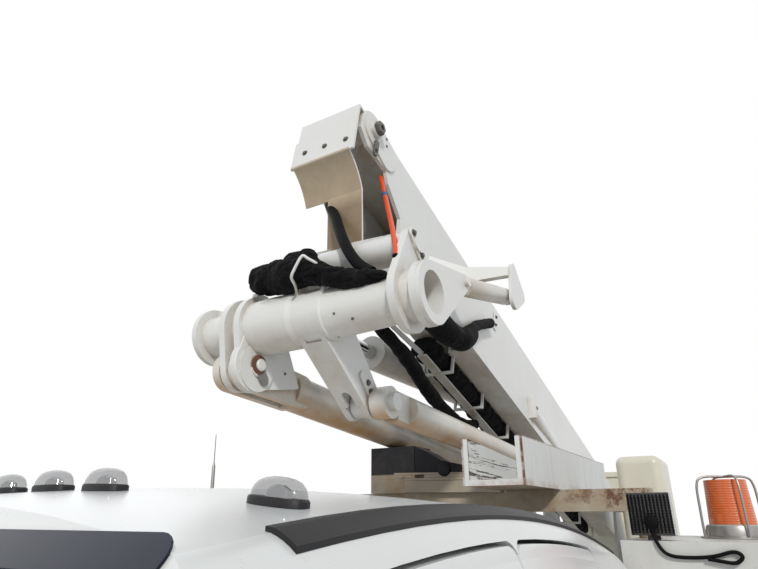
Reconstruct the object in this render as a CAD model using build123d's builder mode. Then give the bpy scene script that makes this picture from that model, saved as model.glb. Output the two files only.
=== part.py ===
# Aerial lift truck: an extended-cab service truck with a slewing riser,
# a parallel link, a tubular elbow and a telescopic boom with a bucket,
# stowed over the cab. Millimetres, +X forward, +Y left, +Z up, ground at Z 0.
import os
from math import cos, radians, sin, sqrt

from build123d import *

os.makedirs("parts", exist_ok=True)

# Whole vehicle
FRONT_X = 3975.0
REAR_X = -3975.0
FRONT_AXLE_X = 3005.0
REAR_AXLE_X = -1875.0
GAP = 6.0

# Wheels
TYRE_RADIUS = 405.0
TYRE_WIDTH = 226.0
RIM_RADIUS = 252.0
FRONT_WHEEL_Y = 930.0
DUAL_INNER_Y = 810.0
DUAL_OUTER_Y = 1080.0
KINGPIN_Y = 740.0
KINGPIN_RADIUS = 28.0
SPINDLE_RADIUS = 35.0
HUB_BOLT_RADIUS = 112.5
HAND_HOLE_RADIUS = 195.0
HAND_HOLE = 24.0
ARCH_RADIUS = 505.0

# Chassis frame
RAIL_Y = 430.0
RAIL_DEPTH = 230.0
RAIL_FLANGE = 75.0
RAIL_WEB = 9.0
RAIL_TOP = 930.0

# Cab body, drawn as half sections seen from the front
CAB_REAR_X = 225.0
CAB_FRONT_X = 2500.0
CAB_SILL_Z = 620.0
CAB_FLOOR_Z = 1000.0
CAB_UNDER_HALF = 860.0
CAB_HALF_SILL = 960.0
CAB_HALF_WAIST = 1003.0
CAB_WAIST_Z = 1050.0
CAB_HALF_BELT = 975.0
CAB_BELT_Z = 1420.0
CAB_HALF_RAIL = 765.0
CAB_RAIL_Z = 1930.0
ROOF_SHOULDER_Y = 690.0
ROOF_SHOULDER_Z = 2016.0
ROOF_CROWN_Z = 2062.0
ROOF_PEAK_X = 1275.0
ROOF_ARC_RADIUS = 5100.0
CAB_WALL = 55.0
CAB_TURN = 15.0
HEADER_Z = 2005.0
COWL_Z = 1400.0
SCREEN_RUN = 0.95
SCREEN_WALL = 45.0
SCREEN_HALF_LOW = 835.0
SCREEN_HALF_HIGH = 665.0
SCREEN_HALF_RISE = 355.0
PILLAR_BACK = 120.0
REAR_GLASS_HALF = 610.0
GLASS_THICKNESS = 6.0
MOULDING_Y = 705.0
MOULDING_WIDTH = 44.0

# Cab doors
DOOR_BOTTOM_Z = 670.0
DOOR_BELOW_CROWN = 108.0
DOOR_FRONT_X = 2310.0
DOOR_SPLIT_X = 1265.0
DOOR_REAR_X = 690.0
WINDOW_TOP_Z = 1890.0
WINDOW_FRAME = 52.0
DOOR_GAP = 8.0
MIRROR_X = 2190.0

# Front bumper and fenders
BUMPER_LOW_Z = 480.0
BUMPER_HIGH_Z = 740.0
FENDER_FRONT_X = 3860.0
FENDER_REAR_X = DOOR_FRONT_X + 2 * DOOR_GAP
FENDER_TOP_Z = 1330.0
FENDER_INNER_Y = 776.0
FENDER_OUTER_Y = 990.0
FENDER_SHEET = 25.0

# Service body
BODY_FRONT_X = 185.0
BODY_REAR_X = -3600.0
BODY_HALF = 1200.0
BODY_INNER = 740.0
DECK_Z = 1000.0
DECK_THICKNESS = 60.0
BOX_BOTTOM_Z = 560.0
TALL_TOP_Z = 1930.0
TALL_REAR_X = -500.0
LOW_TOP_Z = 1250.0
SHEET = 12.0
BODY_DOOR_THICKNESS = 30.0

# Slewing base and arms, seen from the left side as (x, z)
SLEW_X = -2600.0
SLEW_Z = 1600.0
SLEW_RADIUS = 310.0
PEDESTAL_TOP_Z = 1540.0
PEDESTAL_X = (-2860.0, -2340.0)
PEDESTAL_HALF = 420.0
ARM_SLOPE = 4.7
ARM_LENGTH = 3300.0
PIN_A_X = 939.0
PIN_A_Z = 2465.0
PIN_B_X = 660.0
PIN_B_Z = 2360.0
ELBOW_X = 925.0
ELBOW_Z = 2610.0
PIVOT_X = 887.0
PIVOT_Z = 2800.0
BOOM_SLOPE = 17.6

ARM_C = cos(radians(ARM_SLOPE))
ARM_S = sin(radians(ARM_SLOPE))
BOOM_C = cos(radians(BOOM_SLOPE))
BOOM_S = sin(radians(BOOM_SLOPE))
BASE_A_X = PIN_A_X - ARM_LENGTH * ARM_C
BASE_A_Z = PIN_A_Z - ARM_LENGTH * ARM_S
BASE_B_X = PIN_B_X - ARM_LENGTH * ARM_C
BASE_B_Z = PIN_B_Z - ARM_LENGTH * ARM_S

# Boom section, measured square to its length from the boom pivot
BOOM_NEAR_Y = 170.0
BOOM_FAR_Y = -110.0
BOOM_LOW = 219.0
BOOM_HIGH = 615.0
BOOM_WALL = 10.0
BOOM_START = 946.0
BOOM_END = 3800.0
RAIL_INNER_Y = 40.0
NOTCH_DEPTH = 60.0
INNER_CLEAR = 10.0
INNER_START = 450.0
INNER_END = 3985.0
PLATFORM_PIN_U = 4050.0
PLATFORM_PIN_V = 415.0

# Elbow: distances across the truck
FLANGE_D_Y = 445.0
PLATE_C_Y = 385.0
PLATE_C_T = 25.0
FAR_EAR_Y = 0.0
NEAR_EAR_Y = 150.0
EAR_T = 20.0
ARM_B_NEAR_Y = 90.0
ARM_B_FAR_Y = -10.0
PLATE_A_Y = -210.0
PLATE_T = 25.0
TUBE_BORE = 67.0
PIN_RADIUS = 30.0
PIN_FIT = 0.08

RISER_Y = -292.5
RISER_RADIUS = 70.0
LINK_FRONT_Y = 130.0
LINK_REAR_Y = 280.0
LINK_RADIUS = 55.0
SIDE_CLEAR = 5.0

# Cylinders: pin of the barrel, pin of the rod
LIFT_BASE = (-1300.0, 2700.0)
LIFT_ROD = (500.0, 2720.0)
LIFT_Y = -256.0
LIFT_RADIUS = 78.0
LEVEL_BASE = (679.0, 2726.0)
LEVEL_ROD = (122.0, 2860.0)
LEVEL_Y = 425.0
LEVEL_RADIUS = 35.0
RAISE_BASE = (-2200.0, 1680.0)
RAISE_ROD = (-1350.0, 2165.0)
RAISE_Y = -292.5
RAISE_RADIUS = 50.0

# Bucket
BUCKET_DEPTH = 610.0
BUCKET_WIDTH = 610.0
BUCKET_HEIGHT = 1070.0
BUCKET_BOTTOM_Z = 1300.0
BUCKET_WALL = 14.0
BUCKET_REACH = 186.0


def boom_point(u, v):
    """World x and z of a point u along the boom and v square to it."""
    return (PIVOT_X - u * BOOM_C - v * BOOM_S, PIVOT_Z - u * BOOM_S + v * BOOM_C)


def arm_point(along, up, x, z):
    """World x and z of a point along an arm that starts at (x, z)."""
    return (x - along * ARM_C - up * ARM_S, z - along * ARM_S + up * ARM_C)


def side_plane(x, z, y, slope=0.0):
    """Plane facing left; local x runs rearward and down by the slope."""
    c = cos(radians(slope))
    s = sin(radians(slope))
    return Plane(origin=(x, y, z), x_dir=(-c, 0, -s), z_dir=(0, 1, 0))


def wheel_plane(x, z):
    """Plane whose local x is the radius (up) and local y runs left."""
    return Plane(origin=(x, 0, z), x_dir=(0, 0, 1), z_dir=(-1, 0, 0))


def side_plate(points, y_low, y_high, mode=Mode.ADD):
    """Flat plate with a side outline of (x, z) points."""
    with BuildSketch(Plane.XZ.offset(-y_high)) as outline:
        with BuildLine():
            Polyline(*points, close=True)
        make_face()
    extrude(to_extrude=outline.sketch, amount=y_high - y_low, mode=mode)


def box_between(x, y, z, mode=Mode.ADD):
    """Block between the low and high corners given as three pairs."""
    with BuildSketch(Plane.XY.offset(z[0])) as base:
        with Locations(((x[0] + x[1]) / 2, (y[0] + y[1]) / 2)):
            Rectangle(x[1] - x[0], y[1] - y[0])
    extrude(to_extrude=base.sketch, amount=z[1] - z[0], mode=mode)


def cross_disc(x, z, radius, y_low, y_high, mode=Mode.ADD):
    """Round bar across the truck."""
    with BuildSketch(Plane.XZ.offset(-y_high)) as disc:
        with Locations((x, z)):
            Circle(radius)
    extrude(to_extrude=disc.sketch, amount=y_high - y_low, mode=mode)


def strap(ends, y_low, y_high, mode=Mode.ADD):
    """Plate that wraps two or more round ends given as (x, z, radius)."""
    with BuildSketch(Plane.XZ.offset(-y_high)) as outline:
        for x, z, radius in ends:
            with Locations((x, z)):
                Circle(radius)
        make_hull()
    extrude(to_extrude=outline.sketch, amount=y_high - y_low, mode=mode)


def round_bar(start, end, radius, mode=Mode.ADD):
    """Round bar between two points."""
    axis = Vector(*end) - Vector(*start)
    with BuildSketch(Plane(origin=start, z_dir=axis)) as disc:
        Circle(radius)
    extrude(to_extrude=disc.sketch, amount=axis.length, mode=mode)


def save(part, label):
    part.label = label
    export_step(part, f"parts/{label}.step")
    print(label, len(part.solids()), round(part.volume / 1e6, 2))


# Frame rails, crossmembers, spring hangers, drive shaft and fuel tank
with BuildPart() as frame_rails:
    for side in (1, -1):
        web = side * RAIL_Y
        lip = side * (RAIL_Y - RAIL_FLANGE)
        with BuildSketch(Plane.YZ.offset(REAR_X + 180)) as channel:
            with BuildLine():
                Polyline(
                    (web, RAIL_TOP),
                    (lip, RAIL_TOP),
                    (lip, RAIL_TOP - RAIL_WEB),
                    (web - side * RAIL_WEB, RAIL_TOP - RAIL_WEB),
                    (web - side * RAIL_WEB, RAIL_TOP - RAIL_DEPTH + RAIL_WEB),
                    (lip, RAIL_TOP - RAIL_DEPTH + RAIL_WEB),
                    (lip, RAIL_TOP - RAIL_DEPTH),
                    (web, RAIL_TOP - RAIL_DEPTH),
                    close=True,
                )
            make_face()
        extrude(to_extrude=channel.sketch, amount=FRONT_X - REAR_X - 360)
    for x in (3500, 2100, 900, -600, -1400, -2400, -3400):
        cross_y = RAIL_Y - RAIL_WEB
        box_between((x - 40, x + 40), (-cross_y, cross_y), (RAIL_TOP - 150, RAIL_TOP - 60))
    box_between((-500, 650), (RAIL_Y, RAIL_Y + 40), (RAIL_TOP - 200, RAIL_TOP - 120))
    box_between((-480, 640), (RAIL_Y + 40, RAIL_Y + 300), (460, 820))
save(frame_rails.part, "frame_rails")

# Front beam and rear live axle, with their leaf springs
SPRING_Y = 500.0
with BuildPart() as axles:
    for y in (-1, 1):
        with BuildSketch(Plane.XY.offset(TYRE_RADIUS - 55)) as eye:
            with Locations((FRONT_AXLE_X, y * KINGPIN_Y)):
                Circle(48)
                Circle(KINGPIN_RADIUS + PIN_FIT, mode=Mode.SUBTRACT)
        extrude(to_extrude=eye.sketch, amount=110)
    box_between((FRONT_AXLE_X - 45, FRONT_AXLE_X + 45),
                (-KINGPIN_Y + 40, KINGPIN_Y - 40), (TYRE_RADIUS - 45, TYRE_RADIUS + 45))
    cross_disc(REAR_AXLE_X, TYRE_RADIUS, 62, -DUAL_INNER_Y + 130, DUAL_INNER_Y - 130)
    cross_disc(REAR_AXLE_X, TYRE_RADIUS, SPINDLE_RADIUS, -DUAL_INNER_Y - 155, DUAL_INNER_Y + 155)
    cross_disc(REAR_AXLE_X, TYRE_RADIUS, 170, -150, 150)
    for side in (1, -1):
        spring_low = min(side * (SPRING_Y - 38), side * (SPRING_Y + 38))
        for axle_x, reach in ((FRONT_AXLE_X, 560), (REAR_AXLE_X, 700)):
            with BuildSketch(Plane.XZ.offset(-(spring_low + 76))) as leaf:
                with BuildLine():
                    low = TYRE_RADIUS + 52
                    ThreePointArc((axle_x - reach, low + 180), (axle_x, low), (axle_x + reach, low + 180))
                    Line((axle_x + reach, low + 180), (axle_x + reach, low + 215))
                    ThreePointArc((axle_x + reach, low + 215), (axle_x, low + 75),
                                  (axle_x - reach, low + 215))
                    Line((axle_x - reach, low + 215), (axle_x - reach, low + 180))
                make_face()
            extrude(to_extrude=leaf.sketch, amount=76)
            box_between((axle_x - 60, axle_x + 60), (spring_low, spring_low + 76),
                        (TYRE_RADIUS + 40, TYRE_RADIUS + 70))
            for hanger in (axle_x - reach, axle_x + reach):
                hanger_low = min(side * (RAIL_Y + 0.3), side * (SPRING_Y + 38))
                hanger_high = max(side * (RAIL_Y + 0.3), side * (SPRING_Y + 38))
                box_between((hanger - 35, hanger + 35), (hanger_low, hanger_high),
                            (low + 175, RAIL_TOP - 60))
save(axles.part, "axles")

# Engine, one plain block on its mounts between the rails
with BuildPart() as engine_block:
    box_between((2620, 3450), (-270, 270), (720, 1200))
    for x in (2750, 3300):
        box_between((x - 50, x + 50), (-RAIL_Y + RAIL_WEB + 0.3, RAIL_Y - RAIL_WEB - 0.3), (800, 900))
save(engine_block.part, "engine_block")


def cab_section(depth, floor_z):
    """Solid of the cab's section, moved inward by depth.

    The roof falls gently to both ends, so the section turns about a
    cross axis far below the ground instead of running straight."""
    axis_z = ROOF_CROWN_Z - ROOF_ARC_RADIUS
    tilt = radians(CAB_TURN)
    plane = Plane(origin=(ROOF_PEAK_X, 0, axis_z), x_dir=(0, 1, 0), z_dir=(cos(tilt), 0, sin(tilt)))
    sill = (CAB_HALF_SILL - depth, floor_z - axis_z)
    waist = (CAB_HALF_WAIST - depth, CAB_WAIST_Z - axis_z)
    belt = (CAB_HALF_BELT - depth, CAB_BELT_Z - axis_z)
    rail = (CAB_HALF_RAIL - depth, CAB_RAIL_Z - axis_z)
    corner = (CAB_HALF_RAIL - depth - 24, CAB_RAIL_Z - axis_z - 0.6 * depth + 52)
    edge = (ROOF_SHOULDER_Y - depth, ROOF_SHOULDER_Z - depth - axis_z)
    crown = (0, ROOF_CROWN_Z - depth - axis_z)
    with BuildPart() as ring:
        with BuildSketch(plane) as section:
            with BuildLine():
                ThreePointArc(sill, waist, belt)
                Line(belt, rail)
                ThreePointArc(rail, corner, edge)
                ThreePointArc(edge, crown, (-edge[0], edge[1]))
                ThreePointArc((-edge[0], edge[1]), (-corner[0], corner[1]), (-rail[0], rail[1]))
                Line((-rail[0], rail[1]), (-belt[0], belt[1]))
                ThreePointArc((-belt[0], belt[1]), (-waist[0], waist[1]), (-sill[0], sill[1]))
                Line((-sill[0], sill[1]), sill)
            make_face()
        revolve(section.sketch, axis=Axis((ROOF_PEAK_X, 0, axis_z), (0, 1, 0)),
                revolution_arc=2 * CAB_TURN)
    return ring.part


def roof_z(x, below):
    """Height of the curved line that runs below the roof crown."""
    radius = ROOF_ARC_RADIUS - below
    return ROOF_CROWN_Z - ROOF_ARC_RADIUS + sqrt(radius ** 2 - (x - ROOF_PEAK_X) ** 2)


def screen_x(z, back):
    """Position of the windshield line at a height, set back level."""
    return CAB_FRONT_X - back - (z - COWL_Z) * SCREEN_RUN


def cab_outline(rear, back, low, high):
    """Side outline of the cab, set in from its rear wall and windshield."""
    return [
        (CAB_REAR_X + rear, low),
        (CAB_REAR_X + rear, high),
        (screen_x(high, back), high),
        (CAB_FRONT_X - back, COWL_Z),
        (CAB_FRONT_X - back, low),
    ]


def opening_sketch(x_front, x_rear, bottom, inset, below, slanted, radius):
    """Outline of a door or its window in side view, inset all round."""
    front = x_front - inset
    rear = x_rear + inset
    low = bottom + inset
    with BuildSketch(Plane.XZ.offset(-1300)) as face:
        with BuildLine():
            top_rear = (rear, roof_z(rear, below + inset))
            if slanted:
                pillar = PILLAR_BACK + 1.4 * inset
                top_x = screen_x(roof_z(1880, below + inset), pillar)
                knee_z = max(low + 20, COWL_Z + (CAB_FRONT_X - pillar - front) / SCREEN_RUN)
                knee_x = min(front, screen_x(knee_z, pillar))
                Line((front, low), (knee_x, knee_z))
                Line((knee_x, knee_z), (top_x, roof_z(top_x, below + inset)))
            else:
                top_x = front
                Line((front, low), (top_x, roof_z(top_x, below + inset)))
            middle = (top_x + rear) / 2
            ThreePointArc((top_x, roof_z(top_x, below + inset)), (middle, roof_z(middle, below + inset)),
                          top_rear)
            Line(top_rear, (rear, low))
            Line((rear, low), (front, low))
        make_face()
        fillet(face.vertices(), radius)
    return face.sketch


# The cab's outer body and its room, then the shell between them
with BuildPart() as cab_body:
    add(cab_section(0, 400))
    side_plate(cab_outline(0, 0, CAB_SILL_Z, 2200), -1300, 1300, Mode.INTERSECT)

with BuildPart() as cab_core:
    add(cab_section(CAB_WALL, 400))
    side_plate(cab_outline(CAB_WALL, SCREEN_WALL, 500, 2200), -1300, 1300, Mode.INTERSECT)

with BuildPart() as cab_room:
    add(cab_core.part)
    box_between((0, 3000), (-1300, 1300), (CAB_FLOOR_Z, 2200), Mode.INTERSECT)

with BuildPart() as cab_wall:
    add(cab_body.part)
    add(cab_core.part, mode=Mode.SUBTRACT)

# Door and window openings: front x, rear x, slanted front edge
CAB_DOORS = (
    ("front", DOOR_FRONT_X, DOOR_SPLIT_X + DOOR_GAP / 2, True),
    ("rear", DOOR_SPLIT_X - DOOR_GAP / 2, DOOR_REAR_X, False),
)

screen_middle = (screen_x((COWL_Z + HEADER_Z) / 2, 0), 0, (COWL_Z + HEADER_Z) / 2)
screen_plane = Plane(origin=screen_middle, x_dir=(0, 1, 0), z_dir=(1, 0, SCREEN_RUN))


def screen_sketch(inset, depth):
    """Windshield outline in its own plane."""
    with BuildSketch(screen_plane.offset(-depth)) as face:
        with BuildLine():
            Polyline(
                (-SCREEN_HALF_LOW + inset, -SCREEN_HALF_RISE + inset),
                (SCREEN_HALF_LOW - inset, -SCREEN_HALF_RISE + inset),
                (SCREEN_HALF_HIGH - inset, SCREEN_HALF_RISE - inset),
                (-SCREEN_HALF_HIGH + inset, SCREEN_HALF_RISE - inset),
                close=True,
            )
        make_face()
        fillet(face.vertices(), 60)
    return face.sketch


def rear_window_sketch(inset, x):
    with BuildSketch(Plane.YZ.offset(x)) as face:
        with Locations((0, (CAB_BELT_Z + WINDOW_TOP_Z) / 2)):
            RectangleRounded(2 * REAR_GLASS_HALF - 2 * inset, WINDOW_TOP_Z - CAB_BELT_Z - 2 * inset, 50)
    return face.sketch


door_openings = []
for name, x_front, x_rear, slanted in CAB_DOORS:
    hole = opening_sketch(x_front + DOOR_GAP, x_rear - DOOR_GAP, DOOR_BOTTOM_Z - DOOR_GAP, 0,
                          DOOR_BELOW_CROWN - DOOR_GAP, slanted, 40)
    with BuildPart() as opening:
        add(cab_wall.part)
        extrude(to_extrude=hole, amount=2600, mode=Mode.INTERSECT)
    door_openings.append(opening.part)

with BuildPart() as cab_shell:
    add(cab_body.part)
    add(cab_room.part, mode=Mode.SUBTRACT)
    box_between((0, CAB_FRONT_X + 10), (-CAB_UNDER_HALF, CAB_UNDER_HALF),
                (CAB_SILL_Z - 10, CAB_FLOOR_Z - 45), Mode.SUBTRACT)
    for opening in door_openings:
        add(opening, mode=Mode.SUBTRACT)
    for side in (1, -1):
        for inner_y, low_z in ((FENDER_OUTER_Y - FENDER_SHEET - GAP, CAB_SILL_Z - 10),
                               (FENDER_INNER_Y - GAP, FENDER_TOP_Z - GAP - 5)):
            near = min(side * inner_y, side * 1100)
            box_between((FENDER_REAR_X - GAP, CAB_FRONT_X + 20), (near, near + 1100 - inner_y),
                        (low_z, FENDER_TOP_Z + 20 + GAP), Mode.SUBTRACT)
    extrude(to_extrude=screen_sketch(0, 0), amount=120, both=True, mode=Mode.SUBTRACT)
    extrude(to_extrude=rear_window_sketch(0, CAB_REAR_X - 20), amount=120, mode=Mode.SUBTRACT)
    for x in (400, 1300, 2250):
        for y in (-RAIL_Y + 38, RAIL_Y - 38):
            box_between((x - 45, x + 45), (y - 30, y + 30), (RAIL_TOP + 0.3, CAB_FLOOR_Z - 45))
    box_between((DOOR_SPLIT_X - 30, DOOR_SPLIT_X + 30), (-CAB_HALF_BELT + 60, -CAB_HALF_BELT + 100),
                (CAB_FLOOR_Z - 20, CAB_FLOOR_Z + 20))
save(cab_shell.part, "cab_shell")

with BuildPart() as cab_glass:
    extrude(to_extrude=screen_sketch(0.4, 10), amount=-GLASS_THICKNESS)
    extrude(to_extrude=rear_window_sketch(0.4, CAB_REAR_X + 10), amount=GLASS_THICKNESS)
save(cab_glass.part, "cab_glass")

# Doors: the stretch of the cab's wall inside each opening, with its window
with BuildPart() as glass_layer:
    add(cab_section(14, 400))
    add(cab_section(14 + GLASS_THICKNESS, 400), mode=Mode.SUBTRACT)

for name, x_front, x_rear, slanted in CAB_DOORS:
    outline = opening_sketch(x_front, x_rear, DOOR_BOTTOM_Z, 0, DOOR_BELOW_CROWN, slanted, 34)
    window = opening_sketch(x_front - 40, x_rear, CAB_BELT_Z - 52, WINDOW_FRAME, DOOR_BELOW_CROWN,
                            slanted, 30)
    pane = opening_sketch(x_front - 40, x_rear, CAB_BELT_Z - 52, WINDOW_FRAME + 0.4,
                          DOOR_BELOW_CROWN, slanted, 30)
    for side, side_name in ((1, "left"), (-1, "right")):
        with BuildPart() as door:
            add(cab_wall.part)
            extrude(to_extrude=outline, amount=2600, mode=Mode.INTERSECT)
            extrude(to_extrude=window, amount=2600, mode=Mode.SUBTRACT)
            split(bisect_by=Plane.XZ, keep=Keep.BOTTOM if side > 0 else Keep.TOP)
            if name == "front":
                arm_y = side * (CAB_HALF_BELT + 60)
                root_y = side * (CAB_HALF_BELT - 50)
                box_between((MIRROR_X - 20, MIRROR_X + 20), (min(root_y, arm_y), max(root_y, arm_y)),
                            (1395, 1425))
                with BuildSketch(Plane.XY.offset(1380)) as mirror:
                    with Locations((MIRROR_X, side * (CAB_HALF_BELT + 150))):
                        Ellipse(45, 110)
                extrude(to_extrude=mirror.sketch, amount=330)
        save(door.part, f"{name}_door_{side_name}")
        with BuildPart() as glass:
            add(glass_layer.part)
            extrude(to_extrude=pane, amount=2600, mode=Mode.INTERSECT)
            split(bisect_by=Plane.XZ, keep=Keep.BOTTOM if side > 0 else Keep.TOP)
        save(glass.part, f"{name}_door_glass_{side_name}")

# Seats, dashboard and steering wheel
SEAT_Y = 430.0
with BuildPart() as cab_interior:
    for x, width, y in ((1560, 520, SEAT_Y), (1560, 520, -SEAT_Y), (620, 1360, 0)):
        box_between((x - 220, x + 260), (y - width / 2, y + width / 2), (CAB_FLOOR_Z + 0.3, CAB_FLOOR_Z + 130))
        box_between((x - 250, x + 270), (y - width / 2, y + width / 2), (CAB_FLOOR_Z + 130, CAB_FLOOR_Z + 270))
        side_plate(((x - 240, CAB_FLOOR_Z + 230), (x - 100, CAB_FLOOR_Z + 250),
                    (x - 190, CAB_FLOOR_Z + 760), (x - 290, CAB_FLOOR_Z + 760)),
                   y - width / 2, y + width / 2)
    side_plate(((CAB_FRONT_X - SCREEN_WALL - 0.3, 1060), (CAB_FRONT_X - SCREEN_WALL - 0.3, 1360),
                (2180, 1380), (2120, 1300), (2200, 1060)), -860, 860)
    for side in (1, -1):
        near = min(side * (FENDER_INNER_Y - GAP), side * 900)
        box_between((FENDER_REAR_X - GAP, CAB_FRONT_X), (near, near + 900 - FENDER_INNER_Y + GAP),
                    (FENDER_TOP_Z - GAP - 5, FENDER_TOP_Z + 60), Mode.SUBTRACT)
    box_between((2215, 2330), (-120, 120), (CAB_FLOOR_Z + 0.3, 1080))
    round_bar((2150, SEAT_Y, 1290), (2040, SEAT_Y, 1350), 22)
    with BuildSketch(Plane(origin=(2040, SEAT_Y, 1350), z_dir=(-110, 0, 60))) as wheel_rim:
        Circle(195)
        Circle(165, mode=Mode.SUBTRACT)
        Rectangle(340, 36)
        Circle(60)
    extrude(to_extrude=wheel_rim.sketch, amount=26)
save(cab_interior.part, "cab_interior")

# Hood: a thin shell between two lofted skins, hinged at its rear edge
HOOD_REAR_X = 2620.0
HOOD_FRONT_X = 3850.0
HOOD_SHEET = 22.0
HOOD_HALF = 770.0
HOOD_PIN_X = 2640.0
HOOD_PIN_Z = 1330.0
HOOD_PIN = 7.0
HOOD_ARM_Y = 735.0
HOOD_SECTIONS = (
    # x, half width, side height, edge height, crown height
    (HOOD_REAR_X, HOOD_HALF, 1180, 1370, 1425),
    (3200, 745, 1170, 1345, 1395),
    (HOOD_FRONT_X, 700, 1150, 1240, 1285),
)


def hood_skin(inset):
    with BuildPart() as skin:
        for x, half, low, edge, crown in HOOD_SECTIONS:
            with BuildSketch(Plane.YZ.offset(x)):
                with BuildLine():
                    Line((-half + inset, low), (-half + inset, edge - inset))
                    ThreePointArc((-half + inset, edge - inset), (0, crown - inset), (half - inset, edge - inset))
                    Line((half - inset, edge - inset), (half - inset, low))
                    Line((half - inset, low), (-half + inset, low))
                make_face()
        loft()
    return skin.part


with BuildPart() as hood:
    add(hood_skin(0))
    add(hood_skin(HOOD_SHEET), mode=Mode.SUBTRACT)
    for side in (1, -1):
        boss_low = min(side * HOOD_ARM_Y, side * HOOD_HALF)
        cross_disc(HOOD_PIN_X, HOOD_PIN_Z, HOOD_PIN + 12, boss_low, boss_low + HOOD_HALF - HOOD_ARM_Y)
        cross_disc(HOOD_PIN_X, HOOD_PIN_Z, HOOD_PIN + PIN_FIT, boss_low - 60, boss_low + 120, Mode.SUBTRACT)
save(hood.part, "hood")

# Front fenders: thin outer walls with round wheel arches and a flare
with BuildPart() as front_fenders:
    for side in (1, -1):
        low_y = min(side * FENDER_INNER_Y, side * FENDER_OUTER_Y)
        high_y = max(side * FENDER_INNER_Y, side * FENDER_OUTER_Y)
        outline = ((FENDER_REAR_X, 640), (FENDER_REAR_X, FENDER_TOP_Z + 20), (2520, FENDER_TOP_Z + 20),
                   (3300, FENDER_TOP_Z - 20), (FENDER_FRONT_X, 1215), (FENDER_FRONT_X, 640))
        side_plate(outline, low_y, high_y)
    for side in (1, -1):
        low_y = min(side * (FENDER_INNER_Y - 1), side * (FENDER_OUTER_Y - FENDER_SHEET))
        high_y = max(side * (FENDER_INNER_Y - 1), side * (FENDER_OUTER_Y - FENDER_SHEET))
        inner = ((FENDER_REAR_X - 5, 600), (FENDER_REAR_X - 5, FENDER_TOP_Z - 5), (2520, FENDER_TOP_Z - 5),
                 (3300, FENDER_TOP_Z - 45), (FENDER_FRONT_X - 30, 1185), (FENDER_FRONT_X - 30, 600))
        side_plate(inner, low_y, high_y, Mode.SUBTRACT)
        flare_low = min(side * (FENDER_OUTER_Y - FENDER_SHEET), side * (FENDER_OUTER_Y + 50))
        flare_high = max(side * (FENDER_OUTER_Y - FENDER_SHEET), side * (FENDER_OUTER_Y + 50))
        cross_disc(FRONT_AXLE_X, TYRE_RADIUS + 25, ARCH_RADIUS + 45, flare_low, flare_high)
    for side in (1, -1):
        arch_low = min(side * 600, side * 1200)
        cross_disc(FRONT_AXLE_X, TYRE_RADIUS + 25, ARCH_RADIUS, arch_low, arch_low + 600, Mode.SUBTRACT)
    box_between((2200, 3900), (-1200, 1200), (-200, 640), Mode.SUBTRACT)
    box_between((3700, 3900), (-1200, 1200), (600, BUMPER_HIGH_Z + GAP), Mode.SUBTRACT)
    for side in (1, -1):
        pin_low = min(side * HOOD_ARM_Y, side * (FENDER_INNER_Y + 30))
        cross_disc(HOOD_PIN_X, HOOD_PIN_Z, HOOD_PIN, pin_low, pin_low + FENDER_INNER_Y + 30 - HOOD_ARM_Y)
    box_between((3800, 3832), (-FENDER_INNER_Y - 30, FENDER_INNER_Y + 30), (760, 1140))
    box_between((FRONT_X - 179.7, 3832), (-RAIL_Y, RAIL_Y), (BUMPER_HIGH_Z + 2, 800))
save(front_fenders.part, "front_fenders")

# Grille: a frame filled with bars, between the headlamps
GRILLE_HALF = 560.0
GRILLE_LOW_Z = 770.0
GRILLE_HIGH_Z = 1190.0
GRILLE_X = 3832.3
with BuildPart() as grille:
    with BuildSketch(Plane.YZ.offset(GRILLE_X)) as frame_face:
        with Locations((0, (GRILLE_LOW_Z + GRILLE_HIGH_Z) / 2)):
            RectangleRounded(2 * GRILLE_HALF, GRILLE_HIGH_Z - GRILLE_LOW_Z, 40)
            RectangleRounded(2 * GRILLE_HALF - 90, GRILLE_HIGH_Z - GRILLE_LOW_Z - 90, 25, mode=Mode.SUBTRACT)
    extrude(to_extrude=frame_face.sketch, amount=75)
    for row in range(3):
        bar_z = GRILLE_LOW_Z + (row + 1) * (GRILLE_HIGH_Z - GRILLE_LOW_Z) / 4
        box_between((GRILLE_X + 10, GRILLE_X + 60), (-GRILLE_HALF + 40, GRILLE_HALF - 40),
                    (bar_z - 16, bar_z + 16))
save(grille.part, "grille")

# Headlamps, tail lamps, beacon and work lamp
LAMP_CLEAR = 0.3
BEACON_X = -200.0
BEACON_Y = 1060.0
WORK_LAMP_X = 130.0
WORK_LAMP_Y = 840.0
with BuildPart() as vehicle_lamps:
    for side in (1, -1):
        low_y = min(side * (GRILLE_HALF + LAMP_CLEAR), side * (FENDER_OUTER_Y - 15))
        high_y = max(side * (GRILLE_HALF + LAMP_CLEAR), side * (FENDER_OUTER_Y - 15))
        box_between((3860.3, 3905), (low_y, high_y), (860, 1150))
        tail_y = side * (BODY_HALF - 90)
        box_between((BODY_REAR_X - 30, BODY_REAR_X - LAMP_CLEAR), (tail_y - 60, tail_y + 60), (640, 900))
    with BuildSketch(Plane.XY.offset(TALL_TOP_Z + LAMP_CLEAR)) as base:
        with Locations((BEACON_X, BEACON_Y)):
            Circle(85)
    extrude(to_extrude=base.sketch, amount=45)
    with BuildSketch(Plane.XY.offset(TALL_TOP_Z + 45)) as dome:
        with Locations((BEACON_X, BEACON_Y)):
            Circle(76)
    extrude(to_extrude=dome.sketch, amount=150, taper=3)
    box_between((WORK_LAMP_X - 35, WORK_LAMP_X + 35), (WORK_LAMP_Y - 65, WORK_LAMP_Y + 65), (1945, 2075))
    box_between((WORK_LAMP_X - 20, WORK_LAMP_X + 20), (WORK_LAMP_Y - 20, WORK_LAMP_Y + 20),
                (TALL_TOP_Z + LAMP_CLEAR, 1950))
save(vehicle_lamps.part, "vehicle_lamps")

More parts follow.
